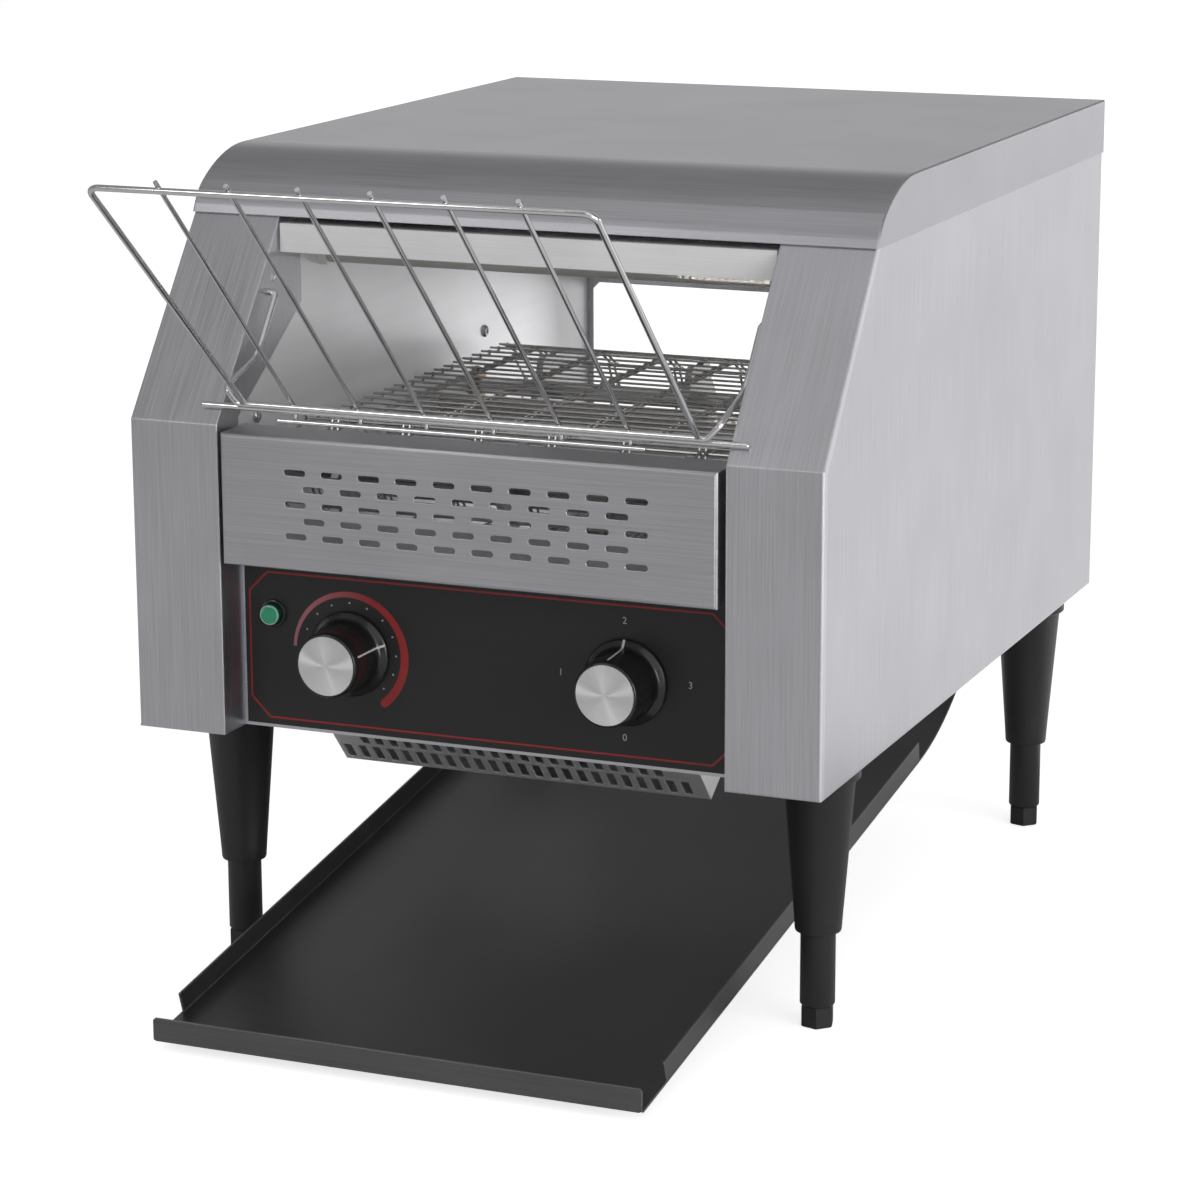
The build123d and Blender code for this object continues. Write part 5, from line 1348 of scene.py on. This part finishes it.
class TOASTER_OT_screws(bpy.types.Operator):
    """Pan head screws on the cover, the rear panel and the inner walls"""

    bl_idname = "toaster.screws"
    bl_label = "Screws"

    # Radius and height of the head, in millimetres
    HEAD = ((0, 0), (3.6, 0), (3.6, 0.5), (3.3, 1.3), (2.6, 1.8), (1.5, 2.0), (1.3, 1.2), (0.0, 1.0))

    def execute(self, context):
        steel = brushed("screw_steel", SCREW_STEEL, even(700.0), rough=0.25, contrast=0.06, bump=0.0)
        head = lathe("head", millimetres(self.HEAD), Vector(), UPWARDS, steps=18)
        places, directions = [], []
        for part in self.islands(NODES["screws"].data):
            low = Vector([min(place[axis] for place in part) for axis in range(3)])
            high = Vector([max(place[axis] for place in part) for axis in range(3)])
            centre = (low + high) / 2
            # A head lies flat on its sheet: thin in x on an inner wall, thin in depth at the back
            if high.x - low.x < high.y - low.y:
                on_right = centre.x > 0
                centre.x = high.x if on_right else low.x
                directions.append(-TO_RIGHT if on_right else TO_RIGHT)
            else:
                centre.y = low.y
                directions.append(TO_BACK)
            places.append(centre)
        mesh = repeated("screw_heads", head, places, directions, steel)
        finished("screw_heads", mesh, steel, "chassis", ["screws"])
        return {"FINISHED"}

    def islands(self, mesh):
        """Vertex places of each separate solid of a CAD node."""
        build = bmesh.new()
        build.from_mesh(mesh)
        bmesh.ops.remove_doubles(build, verts=build.verts, dist=1e-6)
        left = set(build.verts)
        found = []
        for first in build.verts:
            queue = [first] if first in left else []
            left.discard(first)
            part = []
            while queue:
                vertex = queue.pop()
                part.append(vertex.co.copy())
                others = {edge.other_vert(vertex) for edge in vertex.link_edges} & left
                left -= others
                queue.extend(others)
            if part:
                found.append(part)
        build.free()
        return found


class TOASTER_OT_stage(bpy.types.Operator):
    """Floor, room, lights and camera"""

    bl_idname = "toaster.stage"
    bl_label = "Stage"

    FLOOR_HALF = 9
    # Place, width and height of each light, and the size that holds its power
    LIGHTS = {
        "side_light": ((3.0, 4.6, 0.62), 5.1, 1.5, "key"),
        "front_light": ((-1.4, -2.6, 1.9), 0.8, 1.0, "fill"),
        "right_light": ((2.7, -2.6, 2.5), 4.2, 3.0, "right"),
        "strip_light": ((1.9, -0.75, 0.45), 1.6, 0.8, "strip"),
        "top_light": ((0.1, -0.4, 2.6), 2.6, 2.0, "top"),
        "back_light": ((-1.9, 4.2, 1.1), 3.6, 1.8, "back"),
        "floor_light": ((0.72, 1.7, 0.02), 1.5, 3.0, "low"),
        "window_light": ((0.0, 0.262, 0.26), 0.12, 0.08, "window"),
    }
    AIM = Vector((0, 0, 0.22))
    FLOOR_LIGHT_TURN = -16.5
    # Place of the camera and its turn to the left, upwards and round its axis, in degrees
    CAMERA = (0.7371, -1.7930, 0.6513)
    YAW, PITCH, ROLL = 22.445, -13.694, -0.174

    def execute(self, context):
        scene = context.scene
        sizes = scene.toaster_stage
        scene.view_settings.view_transform = "Standard"
        self.floor(sizes)
        scene.world = self.room(sizes)
        for name, (place, width, height, size) in self.LIGHTS.items():
            self.light(name, place, width, height, getattr(sizes, size))
        scene.camera = self.camera(sizes)
        return {"FINISHED"}

    def floor(self, sizes):
        """Pale floor that looks white to the camera."""
        half = self.FLOOR_HALF
        corners = [(-half, -half, 0), (half, -half, 0), (half, half, 0), (-half, half, 0)]
        mesh = bpy.data.meshes.new("floor")
        mesh.from_pydata(corners, [], [(0, 1, 2, 3)])
        put("floor", mesh)
        pale = bpy.data.materials.new("pale_floor")
        pale.use_nodes = True
        tree = pale.node_tree
        shader = tree.nodes["Principled BSDF"]
        shader.inputs["Base Color"].default_value = (*PALE_FLOOR, 1.0)
        shader.inputs["Roughness"].default_value = 0.6
        shader.inputs["Specular IOR Level"].default_value = 0.1
        shader.inputs["Emission Color"].default_value = (*WHITE, 1.0)
        seen = tree.nodes.new("ShaderNodeLightPath").outputs["Is Camera Ray"]
        tree.links.new(maths(tree, "MULTIPLY", seen, sizes.lift), shader.inputs["Emission Strength"])
        mesh.materials.append(pale)

    def room(self, sizes):
        """World that is white behind the object and calmer where the steel mirrors it."""
        world = bpy.data.worlds.new("room")
        world.use_nodes = True
        tree = world.node_tree
        tree.nodes.clear()
        seen = tree.nodes.new("ShaderNodeLightPath").outputs["Is Camera Ray"]
        white, calm = (
            result(tree, "ShaderNodeBackground", ("Color", (*WHITE, 1.0)), ("Strength", strength))
            for strength in (1.0, sizes.surround)
        )
        mixed = result(tree, "ShaderNodeMixShader", (0, seen), (1, calm), (2, white))
        linked(tree, "ShaderNodeOutputWorld", ("Surface", mixed))
        return world

    def light(self, name, place, width, height, watts):
        """An area light that looks at the middle of the object, or straight up from the floor."""
        lamp = bpy.data.lights.new(name, "AREA")
        lamp.shape = "RECTANGLE"
        lamp.size = width
        lamp.size_y = height
        lamp.energy = watts
        holder = put(name, lamp)
        holder.location = place
        if name == "floor_light":
            holder.rotation_euler = (math.pi, 0.0, math.radians(self.FLOOR_LIGHT_TURN))
        else:
            holder.rotation_euler = (self.AIM - Vector(place)).to_track_quat("-Z", "Y").to_euler()
        holder.visible_camera = False
        holder.visible_glossy = name != "window_light"

    def camera(self, sizes):
        """Camera at its place, turned and rolled."""
        camera = bpy.data.cameras.new("camera")
        camera.lens = sizes.lens
        camera.sensor_width = 36.0
        camera.clip_end = 50.0
        yaw, pitch, roll = (math.radians(turn) for turn in (self.YAW, self.PITCH, self.ROLL))
        ahead = Vector((-math.sin(yaw) * math.cos(pitch), math.cos(yaw) * math.cos(pitch), math.sin(pitch)))
        level = Vector((math.cos(yaw), math.sin(yaw), 0))
        above = level.cross(ahead)
        right = level * math.cos(roll) + above * math.sin(roll)
        up = above * math.cos(roll) - level * math.sin(roll)
        turn = Matrix((right, up, -ahead)).transposed()
        holder = put("camera", camera)
        holder.matrix_world = Matrix.Translation(self.CAMERA) @ turn.to_4x4()
        return holder


class TOASTER_PT_panel(bpy.types.Panel):
    """Lists the build steps and their sizes"""

    bl_idname = "TOASTER_PT_panel"
    bl_label = "Conveyor toaster"
    bl_space_type = "VIEW_3D"
    bl_region_type = "UI"
    bl_category = "Toaster"

    def draw(self, context):
        for step in STEPS:
            self.layout.operator(step.bl_idname)
        for attribute, group in GROUPS.items():
            box = self.layout.box()
            box.label(text=group.__name__)
            for key in group.__annotations__:
                box.prop(getattr(context.scene, attribute), key)


STEPS = (
    TOASTER_OT_sheet_metal,
    TOASTER_OT_vent_panel,
    TOASTER_OT_control_face,
    TOASTER_OT_knobs,
    TOASTER_OT_lamp,
    TOASTER_OT_legs,
    TOASTER_OT_loading_rack,
    TOASTER_OT_belt,
    TOASTER_OT_heaters,
    TOASTER_OT_screws,
    TOASTER_OT_stage,
)


def register():
    """Registers the sizes, the operators and the panel."""
    for attribute, group in GROUPS.items():
        bpy.utils.register_class(group)
        setattr(bpy.types.Scene, attribute, PointerProperty(type=group))
    for step in STEPS:
        bpy.utils.register_class(step)
    bpy.utils.register_class(TOASTER_PT_panel)


def unregister():
    """Removes what register added."""
    bpy.utils.unregister_class(TOASTER_PT_panel)
    for step in reversed(STEPS):
        bpy.utils.unregister_class(step)
    for attribute, group in reversed(list(GROUPS.items())):
        delattr(bpy.types.Scene, attribute)
        bpy.utils.unregister_class(group)


def main():
    register()
    bpy.ops.toaster.sheet_metal()
    bpy.ops.toaster.vent_panel()
    bpy.ops.toaster.control_face()
    bpy.ops.toaster.knobs()
    bpy.ops.toaster.lamp()
    bpy.ops.toaster.legs()
    bpy.ops.toaster.loading_rack()
    bpy.ops.toaster.belt()
    bpy.ops.toaster.heaters()
    bpy.ops.toaster.screws()
    bpy.ops.toaster.stage()


if __name__ == "__main__":
    main()
